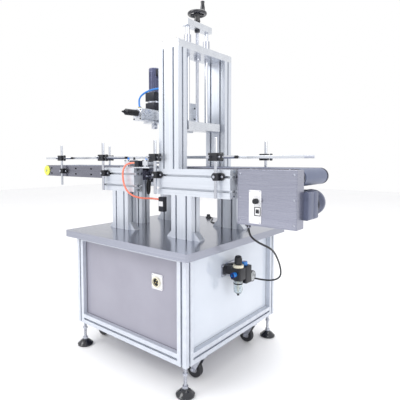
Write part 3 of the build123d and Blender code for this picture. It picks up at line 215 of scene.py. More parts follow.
def lathePart(profile, sides=40):
    # profile is a list of (radius, height), from the axis round the outside and back to the axis
    bm = bmesh.new()
    rings = []
    for radius, height in profile:
        if radius < 1e-7:
            rings.append([bm.verts.new((0, 0, height))])
        else:
            rings.append([bm.verts.new((radius * math.cos(a), radius * math.sin(a), height))
                for a in [2 * math.pi * i / sides for i in range(sides)]])
    for one, two in zip(rings, rings[1:]):
        for i in range(sides):
            j = (i + 1) % sides
            corners = [one[i % len(one)], one[j % len(one)], two[j % len(two)], two[i % len(two)]]
            corners = list(dict.fromkeys(corners))
            if len(corners) > 2:
                bm.faces.new(corners)
    bmesh.ops.recalc_face_normals(bm, faces=bm.faces[:])
    return bm


def plugProfile(radius, height, edge=0.6 * mm, foot=0.0):
    # a turned plug with chamfered rims
    return [(0, foot), (radius - edge, foot), (radius, foot + edge), (radius, foot + height - edge),
        (radius - edge, foot + height), (0, foot + height)]


def tubeProfile(inner, outer, height, edge=0.5 * mm, foot=0.0):
    return [(inner, foot), (outer - edge, foot), (outer, foot + edge), (outer, foot + height - edge),
        (outer - edge, foot + height), (inner, foot + height), (inner, foot)]


def prismPart(outline, depth, bevel=0.6 * mm):
    bm = bmesh.new()
    face = bm.faces.new([bm.verts.new((x, y, 0)) for x, y in outline])
    grown = bmesh.ops.extrude_face_region(bm, geom=[face])
    bmesh.ops.translate(bm, verts=[v for v in grown["geom"] if isinstance(v, bmesh.types.BMVert)],
        vec=(0, 0, depth))
    bmesh.ops.recalc_face_normals(bm, faces=bm.faces[:])
    if bevel:
        rims = [e for e in bm.edges if abs(e.verts[0].co.z - e.verts[1].co.z) < 1e-9]
        bmesh.ops.bevel(bm, geom=rims, offset=bevel, segments=2, affect="EDGES", profile=0.6)
    return bm


def polygon(radius, sides, turn=0.0):
    return [(radius * math.cos(turn + 2 * math.pi * i / sides),
        radius * math.sin(turn + 2 * math.pi * i / sides)) for i in range(sides)]


def roundedOutline(width, height, radius, steps=5):
    points = []
    for cx, cy, start in ((1, 1, 0), (-1, 1, 90), (-1, -1, 180), (1, -1, 270)):
        for i in range(steps + 1):
            a = math.radians(start + 90 * i / steps)
            points.append((cx * (width / 2 - radius) + radius * math.cos(a),
                cy * (height / 2 - radius) + radius * math.sin(a)))
    return points


def placed(bm, origin, axis=up, turn=0.0):
    # stands a part on a point with its axis along the given direction
    axis = Vector(axis).normalized()
    if axis.dot(up) < -0.999:
        lean = Matrix.Rotation(math.pi, 4, "X")
    else:
        lean = up.rotation_difference(axis).to_matrix().to_4x4()
    bm.transform(Matrix.Translation(Vector(origin)) @ lean @ Matrix.Rotation(turn, 4, "Z"))
    return bm


def at(x, y, z):
    # a place given in millimetres
    return Vector((x, y, z)) * mm


def turned(profile, origin, axis=up, sides=40):
    # a lathe part whose profile is in millimetres
    return placed(lathePart([(radius * mm, height * mm) for radius, height in profile], sides), origin,
        axis)


def plug(radius, height, origin, axis=up, edge=0.6, foot=0.0, sides=40):
    return placed(lathePart(plugProfile(radius * mm, height * mm, edge * mm, foot * mm), sides), origin,
        axis)


def ring(inner, outer, height, origin, axis=up, edge=0.5, foot=0.0, sides=40):
    profile = tubeProfile(inner * mm, outer * mm, height * mm, edge * mm, foot * mm)
    return placed(lathePart(profile, sides), origin, axis)


def slab(width, height, radius, depth, origin, axis=up, bevel=0.6):
    # a plate with rounded corners, sizes in millimetres as in plug, ring and hexBar
    outline = roundedOutline(width * mm, height * mm, radius * mm)
    return placed(prismPart(outline, depth * mm, bevel * mm), origin, axis)


def hexBar(radius, height, origin, axis=up, bevel=0.6):
    return placed(prismPart(polygon(radius * mm, 6), height * mm, bevel * mm), origin, axis)


def makePiece(name, parts, body, standsFor=(), sharpAngle=32):
    # parts is a list of (bmesh, material); they become one mesh that rides on the body
    mesh = bpy.data.meshes.new(name)
    whole = bmesh.new()
    used = []
    for bm, material in parts:
        if material not in used:
            used.append(material)
        for face in bm.faces:
            face.material_index = used.index(material)
        bit = bpy.data.meshes.new("bit")
        bm.to_mesh(bit)
        bm.free()
        whole.from_mesh(bit)
        bpy.data.meshes.remove(bit)
    for face in whole.faces:
        face.smooth = True
    for edge in whole.edges:
        if len(edge.link_faces) == 2 and edge.calc_face_angle(0) > math.radians(sharpAngle):
            edge.smooth = False
    whole.to_mesh(mesh)
    whole.free()
    for material in used:
        mesh.materials.append(material)
    piece = bpy.data.objects.new(name, mesh)
    bpy.context.scene.collection.objects.link(piece)
    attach(piece, body)
    if standsFor:
        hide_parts(*standsFor)
    return piece


# ---- cords: the same routes as the solids, as smooth splines

cordRoutes = { "main_cable": {"radius": 3.5, "length": 0.497, "stiffness": "medium", "finish": blackCable,
    "body": "machine", "points": [(615, -136, 572.7), (616, -134.5, 548), (631, -119, 527), (648, -98, 512),
    (659, -68, 497), (658, -33, 476), (650, 6, 447), (641, 45, 413), (630, 80, 377), (614, 108, 347),
    (588, 128, 325), (557, 134, 313), (529, 126, 312), (507.4, 114.2, 315), (486.1, 114, 315)]},
    "table_cable": {"radius": 2.5, "length": 0.319, "stiffness": "medium", "finish": blackCable,
    "body": "machine", "points": [(126.7, 316, 508), (148, 306, 507.5), (166, 280, 506.8),
    (180, 245, 506.8), (205, 212, 506.8), (246, 188, 506.8), (291, 180, 506.8), (332, 186, 507),
    (363, 199.5, 508.5), (384.4, 203, 510)]}, "head_hose": {"radius": 4.0, "length": 0.258,
    "stiffness": "limp", "finish": blueHose, "body": "head", "points": [(39, -92, 1036.7), (37, -93, 1054),
    (39, -91, 1075), (52, -74, 1096), (76, -45, 1112), (104, -20, 1117), (131, -5, 1105), (149, 0, 1082),
    (157, 0, 1055), (158, 0, 1026)]}, "stop_hose": {"radius": 4.0, "length": 0.303, "stiffness": "limp",
    "finish": orangeHose, "body": "machine", "points": [(81.4, -160, 790), (64, -161.5, 790),
    (50, -182, 784), (42, -193, 763), (42, -195, 732), (48, -195, 701), (63, -191, 671), (86, -176, 650),
    (112, -150, 641), (140, -127, 641), (163, -118.5, 639), (184.8, -118, 639)]}, }


def layCord(name, points, radius, length, stiffness, finish, body, lay="loose"):
    curve = bpy.data.curves.new(name + "_run", "CURVE")
    curve.dimensions = "3D"
    spline = curve.splines.new("NURBS")
    spline.points.add(len(points) - 1)
    for control, point in zip(spline.points, points):
        control.co = (*[value * mm for value in point], 1)
    spline.order_u = 3
    spline.use_endpoint_u = True
    spline.resolution_u = 10
    curve.bevel_depth = radius * mm
    curve.bevel_resolution = 4
    curve.use_fill_caps = True
    curve.materials.append(finish)
    cord = bpy.data.objects.new(name + "_run", curve)
    bpy.context.scene.collection.objects.link(cord)
    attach(cord, body)
    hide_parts(name)
    return cord


for name, facts in cordRoutes.items():
    layCord(name, **facts)

# Sensor lead folded into a tied hank on its hook
hankSize = {"turns": 4, "reach": 33, "halfWidth": 6.5, "leadRadius": 1.6}
low, high, middle = bounds("sensor_hank")
hankPoints = []
for turn in range(hankSize["turns"]):
    depth = (turn - 1.5) * 3.3
    for step in range(12):
        angle = 2 * math.pi * step / 12
        swell = 1 + 0.06 * math.sin(1.7 * turn + step)
        hankPoints.append(((middle.x / mm) + hankSize["halfWidth"] * swell * math.sin(angle),
            (middle.y / mm) + depth + 3.3 * step / 12,
            (middle.z / mm) + hankSize["reach"] * swell * math.cos(angle)))
layCord("sensor_hank", hankPoints, hankSize["leadRadius"], 0.53, "limp", blackCable, "machine", "coiled")
print("cords laid")


# ---- cap screws: one socket head, set on a list of spots by Geometry Nodes

def hexRadius(radius, angle):
    return radius * math.cos(math.pi / 6) / math.cos((angle % (math.pi / 3)) - math.pi / 6)


def socketHead(radius, height):
    # a cap screw head with its hexagon recess
    bm = bmesh.new()
    sides = 24
    rings = [(radius, 0, False), (radius, height - 0.4 * mm, False), (radius - 0.4 * mm, height, False),
        (radius * 0.62, height, True), (radius * 0.58, height * 0.35, True)]
    loops = []
    for size, level, isHex in rings:
        angles = [2 * math.pi * i / sides for i in range(sides)]
        loops.append([bm.verts.new(((hexRadius(size, a) if isHex else size) * math.cos(a),
            (hexRadius(size, a) if isHex else size) * math.sin(a), level)) for a in angles])
    for one, two in zip(loops, loops[1:]):
        for i in range(sides):
            j = (i + 1) % sides
            bm.faces.new([one[i], one[j], two[j], two[i]])
    bm.faces.new(loops[-1])
    bm.faces.new(list(reversed(loops[0])))
    bmesh.ops.recalc_face_normals(bm, faces=bm.faces[:])
    return bm


def scatterTree():
    # instances of one object on points that carry a facing vector
    tree = bpy.data.node_groups.new("screwField", "GeometryNodeTree")
    for name, kind in (("Spots", "NodeSocketGeometry"), ("Screw", "NodeSocketObject"),
            ("Size", "NodeSocketFloat"), ("Finish", "NodeSocketMaterial")):
        tree.interface.new_socket(name, in_out="INPUT", socket_type=kind)
    tree.interface.new_socket("Geometry", in_out="OUTPUT", socket_type="NodeSocketGeometry")
    given = addNode(tree, "NodeGroupInput")
    head = addNode(tree, "GeometryNodeObjectInfo", {"Object": given.outputs["Screw"]})
    facing = addNode(tree, "GeometryNodeInputNamedAttribute", data_type="FLOAT_VECTOR")
    facing.inputs["Name"].default_value = "facing"
    lean = addNode(tree, "FunctionNodeAlignRotationToVector", {"Vector": facing.outputs["Attribute"]},
        axis="Z")
    laid = addNode(tree, "GeometryNodeInstanceOnPoints", {"Points": given.outputs["Spots"],
        "Instance": head.outputs["Geometry"], "Rotation": lean.outputs["Rotation"],
        "Scale": given.outputs["Size"]})
    real = addNode(tree, "GeometryNodeRealizeInstances", {"Geometry": laid.outputs["Instances"]})
    coated = addNode(tree, "GeometryNodeSetMaterial", {"Geometry": real.outputs["Geometry"],
        "Material": given.outputs["Finish"]})
    addNode(tree, "NodeGroupOutput", {"Geometry": coated.outputs["Geometry"]})
    return tree


screwTree = scatterTree()
headMesh = bpy.data.meshes.new("capHead")
headBm = socketHead(1.0 * mm, 0.9 * mm)
headBm.to_mesh(headMesh)
headBm.free()
capHead = bpy.data.objects.new("capHead", headMesh)
bpy.context.scene.collection.objects.link(capHead)
capHead.hide_render = True


def setScrews(name, body, spots, radius, finish=blackOxide):
    # spots is a list of (place in mm, facing)
    mesh = bpy.data.meshes.new(name)
    mesh.from_pydata([[value * mm for value in place] for place, facing in spots], [], [])
    facings = mesh.attributes.new("facing", "FLOAT_VECTOR", "POINT")
    for item, (place, facing) in zip(facings.data, spots):
        item.vector = facing
    field = bpy.data.objects.new(name, mesh)
    bpy.context.scene.collection.objects.link(field)
    maker = field.modifiers.new("screws", "NODES")
    maker.node_group = screwTree
    sockets = {item.name: item.identifier
        for item in screwTree.interface.items_tree if item.in_out == "INPUT"}
    maker[sockets["Screw"]] = capHead
    maker[sockets["Size"]] = radius
    maker[sockets["Finish"]] = finish
    bpy.context.view_layer.update()
    evaluated = field.evaluated_get(bpy.context.evaluated_depsgraph_get())
    solid = bpy.data.meshes.new_from_object(evaluated)
    field.modifiers.remove(maker)
    field.data = solid
    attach(field, body)
    return field


def grid(xs, ys, zs, facing):
    return [((x, y, z), facing) for x in xs for y in ys for z in zs]


# ---- cabinet: seals round the panels, feet, casters
front, back = -across, across
frameLow, frameHigh, frameMid = bounds("cabinet_frame")
cell = 40 * mm


def sealRing(axis, level, spanA, spanB, width=3.2 * mm, depth=1.6 * mm):
    # four strips of rubber round one panel; axis is the panel's normal
    strips = []
    for low, high in (((spanA[0], spanB[0]), (spanA[1], spanB[0] + width)),
            ((spanA[0], spanB[1] - width), (spanA[1], spanB[1])),
            ((spanA[0], spanB[0]), (spanA[0] + width, spanB[1])),
            ((spanA[1] - width, spanB[0]), (spanA[1], spanB[1]))):
        if axis == "x":
            strips.append(blockPart((level, low[0], low[1]), (level + depth, high[0], high[1]), 0.3 * mm,
                1))
        else:
            strips.append(blockPart((low[0], level - depth, low[1]), (high[0], level, high[1]), 0.3 * mm,
                1))
    return [(strip, rubberSeal) for strip in strips]


panelHeight = (frameLow.z + cell, frameHigh.z - cell)
frontWidth = (frameLow.x + cell, frameHigh.x - cell)
sideWidth = (frameLow.y + cell, frameHigh.y - cell)
inset = cell / 2
seals = sealRing("y", frameLow.y + inset - 2 * mm, frontWidth, panelHeight)
seals += sealRing("x", frameHigh.x - inset + 2 * mm, sideWidth, panelHeight)
seals += sealRing("x", frameLow.x + inset - 3.6 * mm, sideWidth, panelHeight)
makePiece("panelSeals", seals, "machine")

footSize = {"height": 24, "nut": 11, "stem": 6, "pitch": 3.0}


def threadProfile(radius, depth, pitch, bottom, top):
    turns = int((top - bottom) / pitch)
    points = [(0, bottom), (radius - depth, bottom)]
    for i in range(turns):
        points += [(radius, bottom + (i + 0.5) * pitch), (radius - depth, bottom + (i + 1) * pitch)]
    return [(r * mm, z * mm) for r, z in points + [(radius - depth, top), (0, top)]]


footParts = []
for sx in (-1, 1):
    for sy in (-1, 1):
        spot = (frameMid.x + sx * (frameHigh.x - frameLow.x - cell) / 2,
            frameMid.y + sy * (frameHigh.y - frameLow.y - cell) / 2, 0)
        dome = [(0, 0), (30.5, 0), (33, 1.8), (33, 6.2), (31.6, 7.6), (28.5, 9.5), (24, 14.5), (18, 19.5),
            (13.5, 22), (12.5, 24), (0, 24)]
        footParts.append((turned(dome, spot), blackPhenolic))
        footParts.append((placed(prismPart(polygon(footSize["nut"] * mm, 6), 10 * mm),
            (spot[0], spot[1], footSize["height"] * mm)), zincPlate))
        footParts.append((placed(lathePart(threadProfile(footSize["stem"], 0.7, footSize["pitch"], 34, 134),
            18), spot), zincPlate))
        footParts.append((hexBar(10, 7, (spot[0], spot[1], 0.071)), zincPlate))
makePiece("levellingFeet", footParts, "feet", ["levelling_feet"])

wheelTyre = [(15, -9), (24, -9.6), (27, -10.6), (29.6, -10), (31.1, -7), (31.5, 0), (31.1, 7), (29.6, 10),
    (27, 10.6), (24, 9.6), (15, 9), (15, -9)]
wheelHub = [(4.1, -11), (9, -11), (9.6, -8), (12, -6.5), (20.5, -6), (23, -9.2), (24.5, -9.2), (24.5, 9.2),
    (23, 9.2), (20.5, 6), (12, 6.5), (9.6, 8), (9, 11), (4.1, 11), (4.1, -11)]
for corner in ("rear_left", "rear_right", "front_left", "front_right"):
    low, high, centre = bounds("caster_wheel_" + corner)
    parts = [(turned(wheelTyre, centre, across, sides=48), tyreRubber),
        (turned(wheelHub, centre, across, sides=36), hubNylon)]
    for i in range(5):
        angle = 2 * math.pi * i / 5
        spoke = centre + Vector((16 * mm * math.cos(angle), 0, 16 * mm * math.sin(angle)))
        parts.append((plug(1.6, 13, spoke, across, edge=0.3, foot=-6.5, sides=12), zincPlate))
    makePiece("casterWheel_" + corner, parts, "wheel_" + corner, ["caster_wheel_" + corner])
    low, high, middle = bounds("caster_fork_" + corner)
    nuts = []
    for sign in (-1, 1):
        spot = Vector((centre.x, centre.y + sign * 15.2 * mm, centre.z))
        nuts.append((hexBar(7.5, 4.6, spot, across * sign), zincPlate))
    nuts.append((ring(19.5, 22.2, 3, (high.x - 21 * mm, middle.y, high.z - 7 * mm), edge=0.8, sides=36),
        zincPlate))
    makePiece("casterNuts_" + corner, nuts, "fork_" + corner)
print("cabinet, feet and casters made")

# ---- upper frame: screws of the corner angles, beams and brackets
spots = []
for x, side in ((3, 1), (3, -1), (350, 1), (350, -1)):
    faceX = x + side * 50
    for y in (-153, 153):
        spots.append(((faceX + side * 18, y, 508), (0, 0, 1)))
        spots.append(((faceX + side * 4, y, 525), (side, 0, 0)))
spots += grid((238 + 14, 338 - 14), (-165, -141, 141, 165), (1251,), (0, 0, 1))
setScrews("frameScrews", "machine", spots, 5.5)
setScrews("sideScrews", "machine", grid((-660, -560, -430, -300, -180, 600, 690), (-104.2,), (730, 758),
    front) + grid((-660, -560, -300, -180, 0, 320, 600, 690), (104.2,), (730, 758), back), 4.0)
setScrews("plateScrews", "carriage", grid((288 - 26, 288 + 26), (-92, -24, 24, 92), (953,),
    (0, 0, 1)) + grid((280, 296), (-76, -40, 40, 76), (1357,), (0, 0, 1)) + grid((248,), (-32, 32),
    (975, 1020), (1, 0, 0)), 3.6)
setScrews("tableScrews", "machine", [((180 + sx * (339 - 22), sy * (347 - 22), 503.9), (0, 0, 1))
    for sx in (-1, 1) for sy in (-1, 1)], 3.4, zincPlate)
setScrews("bearingScrews", "machine", [((288 + 19 * math.cos(a), y + 19 * math.sin(a), 1257), (0, 0, 1))
    for y in (-62, 62) for a in (math.pi / 4 + k * math.pi / 2 for k in range(4))], 3.2)

# Covers on the open ends of the beams, and moulded caps at the belt's ends
caps = []
beamLow, _, beamMid = bounds("cross_beams")
for y in (-153, 153):
    caps.append((placed(prismPart(roundedOutline(100 * mm, 50 * mm, 3 * mm), 3 * mm),
        (beamLow.x - 3 * mm, y * mm, beamMid.z), -along, 0), blackMoulding))
makePiece("beamCaps", caps, "machine")
setScrews("beamCapScrews", "machine", grid((beamLow.x / mm - 3,), (-153, 153), (693, 743), (-1, 0, 0)), 4)
capProfile = [(0, 0), (25.5, 0), (26.5, 1), (26.5, 3), (24, 5.2), (11, 6), (9, 4.6), (0, 4.6)]
for label, x, sides, finish in (("infeedCaps", -705, (-1, 1), yellowCap),
        ("outfeedCap", 766, (1,), paleCap)):
    makePiece(label, [(turned(capProfile, (x * mm, side * 104 * mm, 744 * mm), across * side, sides=48),
        finish) for side in sides] + [(hexBar(5, 3, (x * mm, side * 108.6 * mm, 744 * mm), across * side),
        zincPlate) for side in sides], "machine")
print("frame screws and caps set")

# ---- lift: threaded screw, handwheel and crank
screwLow, _, screwMid = bounds("lift_screw")
screwParts = [(placed(lathePart(threadProfile(7, 0.9, 4, screwLow.z / mm, 1323), 20),
    (screwMid.x, screwMid.y, 0)), groundSteel)]
for foot, height in ((1323.5, 9), (1357.4, 6.8)):
    screwParts.append((placed(lathePart(plugProfile(11 * mm, height * mm, 0.8 * mm)),
        (screwMid.x, screwMid.y, foot * mm)), darkEnamel))
screwParts.append((plug(6, 88, (screwMid.x, screwMid.y, 1322 * mm), edge=0.8), groundSteel))
makePiece("liftScrew", screwParts, "screw", ["lift_screw"])

wheelSize = {"rim": 33, "tube": 7, "centre": 1398, "spokes": 3}
wheelParts = []
rimPlace = Vector((screwMid.x, screwMid.y, wheelSize["centre"] * mm))
rim = lathePart([((wheelSize["rim"] + wheelSize["tube"] * math.cos(a)) * mm,
    wheelSize["tube"] * math.sin(a) * mm) for a in [2 * math.pi * i / 16 for i in range(17)]], 64)
bmesh.ops.remove_doubles(rim, verts=rim.verts[:], dist=1e-6)
wheelParts.append((placed(rim, rimPlace), blackPhenolic))
hub = [(6.05, 1364.4), (12.4, 1364.4), (13, 1366), (11, 1380), (12.5, 1390), (15, 1394), (15, 1402),
    (12, 1406), (6.05, 1407), (6.05, 1364.4)]
wheelParts.append((turned(hub, (screwMid.x, screwMid.y, 0), sides=40), blackPhenolic))
for i in range(wheelSize["spokes"]):
    angle = math.radians(73 + 120 * i)
    spoke = prismPart(roundedOutline(9 * mm, 6 * mm, 2.6 * mm, 4), 22 * mm, 0)
    wheelParts.append((placed(spoke, rimPlace + 11 * mm * Vector((math.cos(angle), math.sin(angle), 0)),
        (math.cos(angle), math.sin(angle), 0)), blackPhenolic))
pinPlace = (0.296, 0.026)
wheelParts.append((plug(4, 58, (*pinPlace, 1.398), edge=0.7), groundSteel))
wheelParts.append((plug(8, 7.5, (*pinPlace, 1.398), edge=1), blackPhenolic))
makePiece("handwheelRim", wheelParts, "screw", ["handwheel"])
grip = [(4.1, 0), (6.4, 0), (8.2, 3), (9.6, 12), (9.4, 22), (7.6, 33), (7.2, 39), (8.6, 44), (7.6, 47.6),
    (4.1, 48), (4.1, 0)]
makePiece("crankGrip", [(turned(grip, (*pinPlace, 1.406), sides=36), blackPhenolic)], "crank",
    ["crank_handle"])
print("lift made")


# ---- drive box: folded cover with seams, screws and rivets over the sheet box of the drawing
coverFront = bounds("drive_box")[0].y
seams = []
for z in (585 + 1.2, 770 - 3.0):
    seams.append((blockPart((584.6 * mm, coverFront - 0.9 * mm, z * mm),
        (794.4 * mm, coverFront, (z + 1.8) * mm), 0.4 * mm, 1), brushedCover))
for x in (585.4, 792.0):
    seams.append((blockPart((x * mm, coverFront - 0.9 * mm, 588 * mm),
        ((x + 1.8) * mm, coverFront, 767 * mm), 0.4 * mm, 1), brushedCover))
for x in (620, 758):
    seams.append((plug(3.1, 1.5, at(x, -134, 770), edge=0.6, sides=20), zincPlate))
ringNut = hexBar(9.5, 4, at(615, -136, 581))
domeNut = turned(((0, 0), (5, 0), (8, 2.5), (8.6, 8), (8.6, 9), (0, 9)), at(615, -136, 572))
seams += [(ringNut, blackMoulding), (domeNut, blackMoulding)]
makePiece("driveBoxTrim", seams, "machine")
setScrews("driveBoxScrews", "machine", grid((594, 785), (-158,), (600, 677, 755), front), 3.4, zincPlate)
setScrews("driveBoxBackScrews", "machine", [((x, -158 + 48.2, z), back)
    for x, z in ((600, 600), (600, 690))], 3.4, zincPlate)

# Control plate: printed dial scale, collet nut, fluted knob with a pointer, framed rocker
plateFront = bounds("speed_panel")[0].y
dialPlace = Vector((0.660, plateFront, 0.668))
plateParts = [(blockPart((630.4 * mm, plateFront - 0.35 * mm, 593.4 * mm),
        (673.6 * mm, plateFront, 702.6 * mm), 0.15 * mm, 1), whiteAbs),
    (hexBar(8.2, 2.4, dialPlace + Vector((0, -0.35 * mm, 0)), front), zincPlate)]
for i in range(11):
    angle = math.radians(-60 + 30 * i)
    low = 14.5 * mm
    mark = blockPart((-0.4 * mm, low, 0.35 * mm), (0.4 * mm, low + (3.6 if i % 5 == 0 else 2.4) * mm,
        0.5 * mm), 0, 1)
    mark.transform(Matrix.Rotation(angle - math.radians(90), 4, "Z"))
    plateParts.append((placed(mark, dialPlace, front), inkBlack))
for x, z in ((634, 597), (670, 597), (634, 699), (670, 699)):
    plateParts.append((plug(2, 1.3, (x * mm, plateFront - 0.3 * mm, z * mm), front, edge=0.4, sides=16),
        zincPlate))
for x0, x1, z0, z1 in ((650.6, 673.4, 619.4, 621.4), (650.6, 673.4, 646.6, 648.6),
        (650.6, 652.4, 621.4, 646.6), (671.6, 673.4, 621.4, 646.6)):
    plateParts.append((blockPart((x0 * mm, plateFront - 2.2 * mm, z0 * mm), (x1 * mm, plateFront, z1 * mm),
        0.4 * mm, 1), blackMoulding))
makePiece("controlPlate", plateParts, "machine")


def knobBody(radius, height, flutes, depth):
    outline = []
    steps = flutes * 4
    for i in range(steps):
        a = 2 * math.pi * i / steps
        r = radius - (depth if i % 4 in (0, 1) else 0)
        outline.append((r * math.cos(a), r * math.sin(a)))
    return prismPart(outline, height, 0.5 * mm)


knobLow, knobHigh, knobMid = bounds("speed_knob")
knobRadius = (knobHigh.x - knobLow.x) / 2
knobDepth = knobHigh.y - knobLow.y
makePiece("speedKnob", [(placed(knobBody(knobRadius, knobDepth * 0.6, 18, 0.6 * mm),
        (knobMid.x, plateFront - 3 * mm, knobMid.z), front), blackMoulding),
    (placed(lathePart(plugProfile(knobRadius * 0.86, knobDepth * 0.45, 1.2 * mm)),
        (knobMid.x, knobLow.y + knobDepth * 0.45, knobMid.z), front), blackPhenolic),
    (blockPart((knobMid.x - 0.6 * mm, knobLow.y - 0.4 * mm, knobMid.z + 2 * mm),
        (knobMid.x + 0.6 * mm, knobLow.y + 1 * mm, knobMid.z + knobRadius * 0.78), 0.2 * mm, 1),
        whiteAbs)], "speed_dial", ["speed_knob"])

# ---- gearmotor: square gear head, finned can, dark ring and fan cover
motorPlace = Vector((0.766, 0, 0.656))
can = [(0, -26), (43.6, -26), (45, -24.5)]
for i in range(13):
    y = -20 + i * 3.3
    can += [(45, y), (43.1, y + 0.5), (43.1, y + 1.7), (45, y + 2.2)]
can += [(45, 24.5), (43.2, 26), (43.2, 38.6), (41.8, 40), (30, 40), (29, 39), (12, 39), (0, 39)]
gearPlate = prismPart(roundedOutline(90 * mm, 90 * mm, 6 * mm), 36 * mm, 1.2 * mm)
motorParts = [(placed(gearPlate, motorPlace + Vector((0, -66 * mm, 0)), across), slateEnamel),
    (slab(89, 89, 5, 44, motorPlace + Vector((0, -110 * mm, 0)), across, bevel=1), slateEnamel),
    (turned(can, motorPlace, across, sides=64), slateEnamel),
    (ring(42, 46.5, 7, motorPlace, across, edge=1, foot=-30, sides=56), blackMoulding)]
# vent slots of the fan cover drawn as black bars: painted shade seen through the openings
for i in range(20):
    ventShadeBar = blockPart((-1.1 * mm, 16 * mm, 0), at(1.1, 27, 0.7), 0.2 * mm, 1)
    ventShadeBar.transform(Matrix.Rotation(2 * math.pi * i / 20, 4, "Z"))
    motorParts.append((placed(ventShadeBar, motorPlace + Vector((0, 38.9 * mm, 0)), across), blackMoulding))
makePiece("gearMotorShell", motorParts, "machine", ["gearmotor"])
setScrews("gearMotorBolts", "machine", [((766 + sx * 37, -30, 656 + sz * 37), back) for sx in (-1, 1)
    for sz in (-1, 1)], 4.4, zincPlate)

# ---- air unit: bracket, banded body, clear bowl with drain, cream ring, gauge with dial
unit = Vector((0.521, -0.050, 0))
gauge = Vector((0.509, 0.038, 0.349))
valve = Vector((0.521, -0.006, 0))
panelFace = bounds("right_panel")[1].x
bowl = [(0, 302), (9, 302), (14.5, 304), (16.6, 309), (17, 318), (17, 351.6), (15.4, 351.6), (15.4, 318),
    (13, 307), (0, 305)]
airParts = [(blockPart((panelFace, -0.083, 0.362), (panelFace + 4 * mm, 0.027, 0.408), 1 * mm), zincPlate),
    (blockPart((panelFace + 4 * mm, -0.062, 0.370), (0.5005, -0.038, 0.400), 1 * mm), blackMoulding),
    (blockPart((panelFace + 4 * mm, -0.018, 0.370), (0.5005, 0.006, 0.400), 1 * mm), blackMoulding),
    (slab(42, 42, 5, 44, unit + Vector((0, 0, 0.356)), bevel=1.2), blackMoulding),
    (slab(42, 42, 5, 64, valve + Vector((0, 0, 0.336)), bevel=1.2), blackMoulding),
    (ring(12, 19, 4.6, unit, edge=0.8, foot=351.6), blackMoulding),
    (turned(bowl, unit, sides=44), clearBowl),
    (ring(15.5, 17.6, 5, unit, edge=0.6, foot=338, sides=44), blackMoulding),
    (plug(4, 42, unit, edge=0.6, foot=308, sides=24), creamNylon),
    (plug(8, 2, unit, edge=0.4, foot=322, sides=24), creamNylon),
    (turned(((0, 294), (4, 294), (4.8, 296), (4.8, 299), (3.2, 300.5), (3.2, 302), (0, 302)), unit,
        sides=20), blackMoulding),
    (ring(12.8, 20, 11.4, unit, edge=1.4, foot=400, sides=44), creamNylon),
    (plug(12, 14, valve, edge=1.2, foot=400, sides=32), blueHose),
    (plug(5, 1.2, valve, edge=0.3, foot=413, sides=24), navyHose),
    (ring(4, 9, 22, (0.521, -0.071, 0.378), front, edge=1, sides=28), blueHose),
    (ring(5, 9.4, 3, (0.521, -0.090, 0.378), front, edge=0.8, sides=28), navyHose),
    (hexBar(12, 2, (0.521, -0.029, 0.378), across, bevel=0.4), zincPlate),
    (plug(7, 20, (0.521, 0.015, 0.349), across, edge=0.8, sides=24), brass),
    (turned(((0, 0), (20.3, 0), (21.5, 1.4), (21.5, 22.4), (20.6, 24), (18.6, 24), (18.4, 22), (0, 22)),
        gauge, along, sides=48), blackMoulding),
    (plug(18.4, 0.3, gauge + along * 22.1 * mm, along, edge=0.1, sides=44), whiteAbs),
    (plug(2, 0.8, gauge + along * 22.6 * mm, along, edge=0.2, sides=16), inkBlack)]
for i in range(13):
    angle = math.radians(-45 + 270 * i / 12)
    mark = blockPart((-0.35 * mm, 13.6 * mm, 0), at(0.35, 17.2 if i % 3 == 0 else 15.6, 0.12), 0, 1)
    mark.transform(Matrix.Rotation(angle - math.radians(90), 4, "Z"))
    airParts.append((placed(mark, gauge + along * 22.5 * mm, along), inkBlack))
needle = blockPart((-0.4 * mm, -4 * mm, 0), at(0.4, 13, 0.2), 0, 1)
needle.transform(Matrix.Rotation(math.radians(62), 4, "Z"))
airParts.append((placed(needle, gauge + along * 22.8 * mm, along), redPlastic))
airParts.append((plug(18.4, 0.5, gauge + along * 23.7 * mm, along, edge=0.2, sides=44), gaugeGlass))
makePiece("airUnit", airParts, "machine", ["regulator"])
airGrip = knobBody(14 * mm, 22 * mm, 16, 0.7 * mm)
makePiece("airKnob", [(placed(airGrip, unit + Vector((0, 0, 0.4122))), blackMoulding),
    (turned(((0, 434), (13, 434), (12.6, 440), (9, 444), (0, 444)), unit, sides=32),
        blackMoulding)], "air_dial", ["regulator_knob"])
setScrews("airBracketScrews", "machine", [((panelFace / mm + 4, y, z), (1, 0, 0)) for y in (-78, 22)
    for z in (368, 402)], 3, zincPlate)
print("drive box, motor and air unit made")

# ---- guide stands: bolted base, collar, cross clamp with a T-knob
sideFace, beamFace = 104, 178
guideSides = {"front": (-1, (-532, -88, 232, 520)), "rear": (1, (-430, 500))}
shiftX, railLevel, baseLevel = 15, 812, 744


def standPlaces(side):
    sign, xs = guideSides[side]
    return [(x, sign * (120 if x == min(xs) else 195), sign * (sideFace if x == min(xs) else beamFace),
        sign) for x in xs]


baseParts = []
baseBolts = []
for side in guideSides:
    for x, y, backY, sign in standPlaces(side):
        plate = prismPart(roundedOutline(54 * mm, 27 * mm, 13.2 * mm, 8), 6 * mm, 1.4 * mm)
        baseParts.append((placed(plate, at(x, backY, baseLevel), across * sign), blackMoulding))
        baseParts.append((turned(((6.05, -13), (10.2, -13), (11, -12), (11, 12), (10.2, 13), (6.05, 13),
            (6.05, -13)), at(x, y, baseLevel), sides=36), blackMoulding))
        near, far = sorted((backY + sign * 4, y - sign * 8))
        baseParts.append((blockPart(at(x - 8, near, baseLevel - 12), at(x + 8, far, baseLevel + 12), 2 * mm,
            3), blackMoulding))
        baseParts.append((hexBar(5, 4, at(x, y + sign * 10.6, baseLevel), across * sign, bevel=0.4),
            zincPlate))
        baseBolts += [((x + s * 18, backY + sign * 5.6, baseLevel), (0, sign, 0)) for s in (-1, 1)]
makePiece("guideBases", baseParts, "machine", ["guide_rod_bases"])
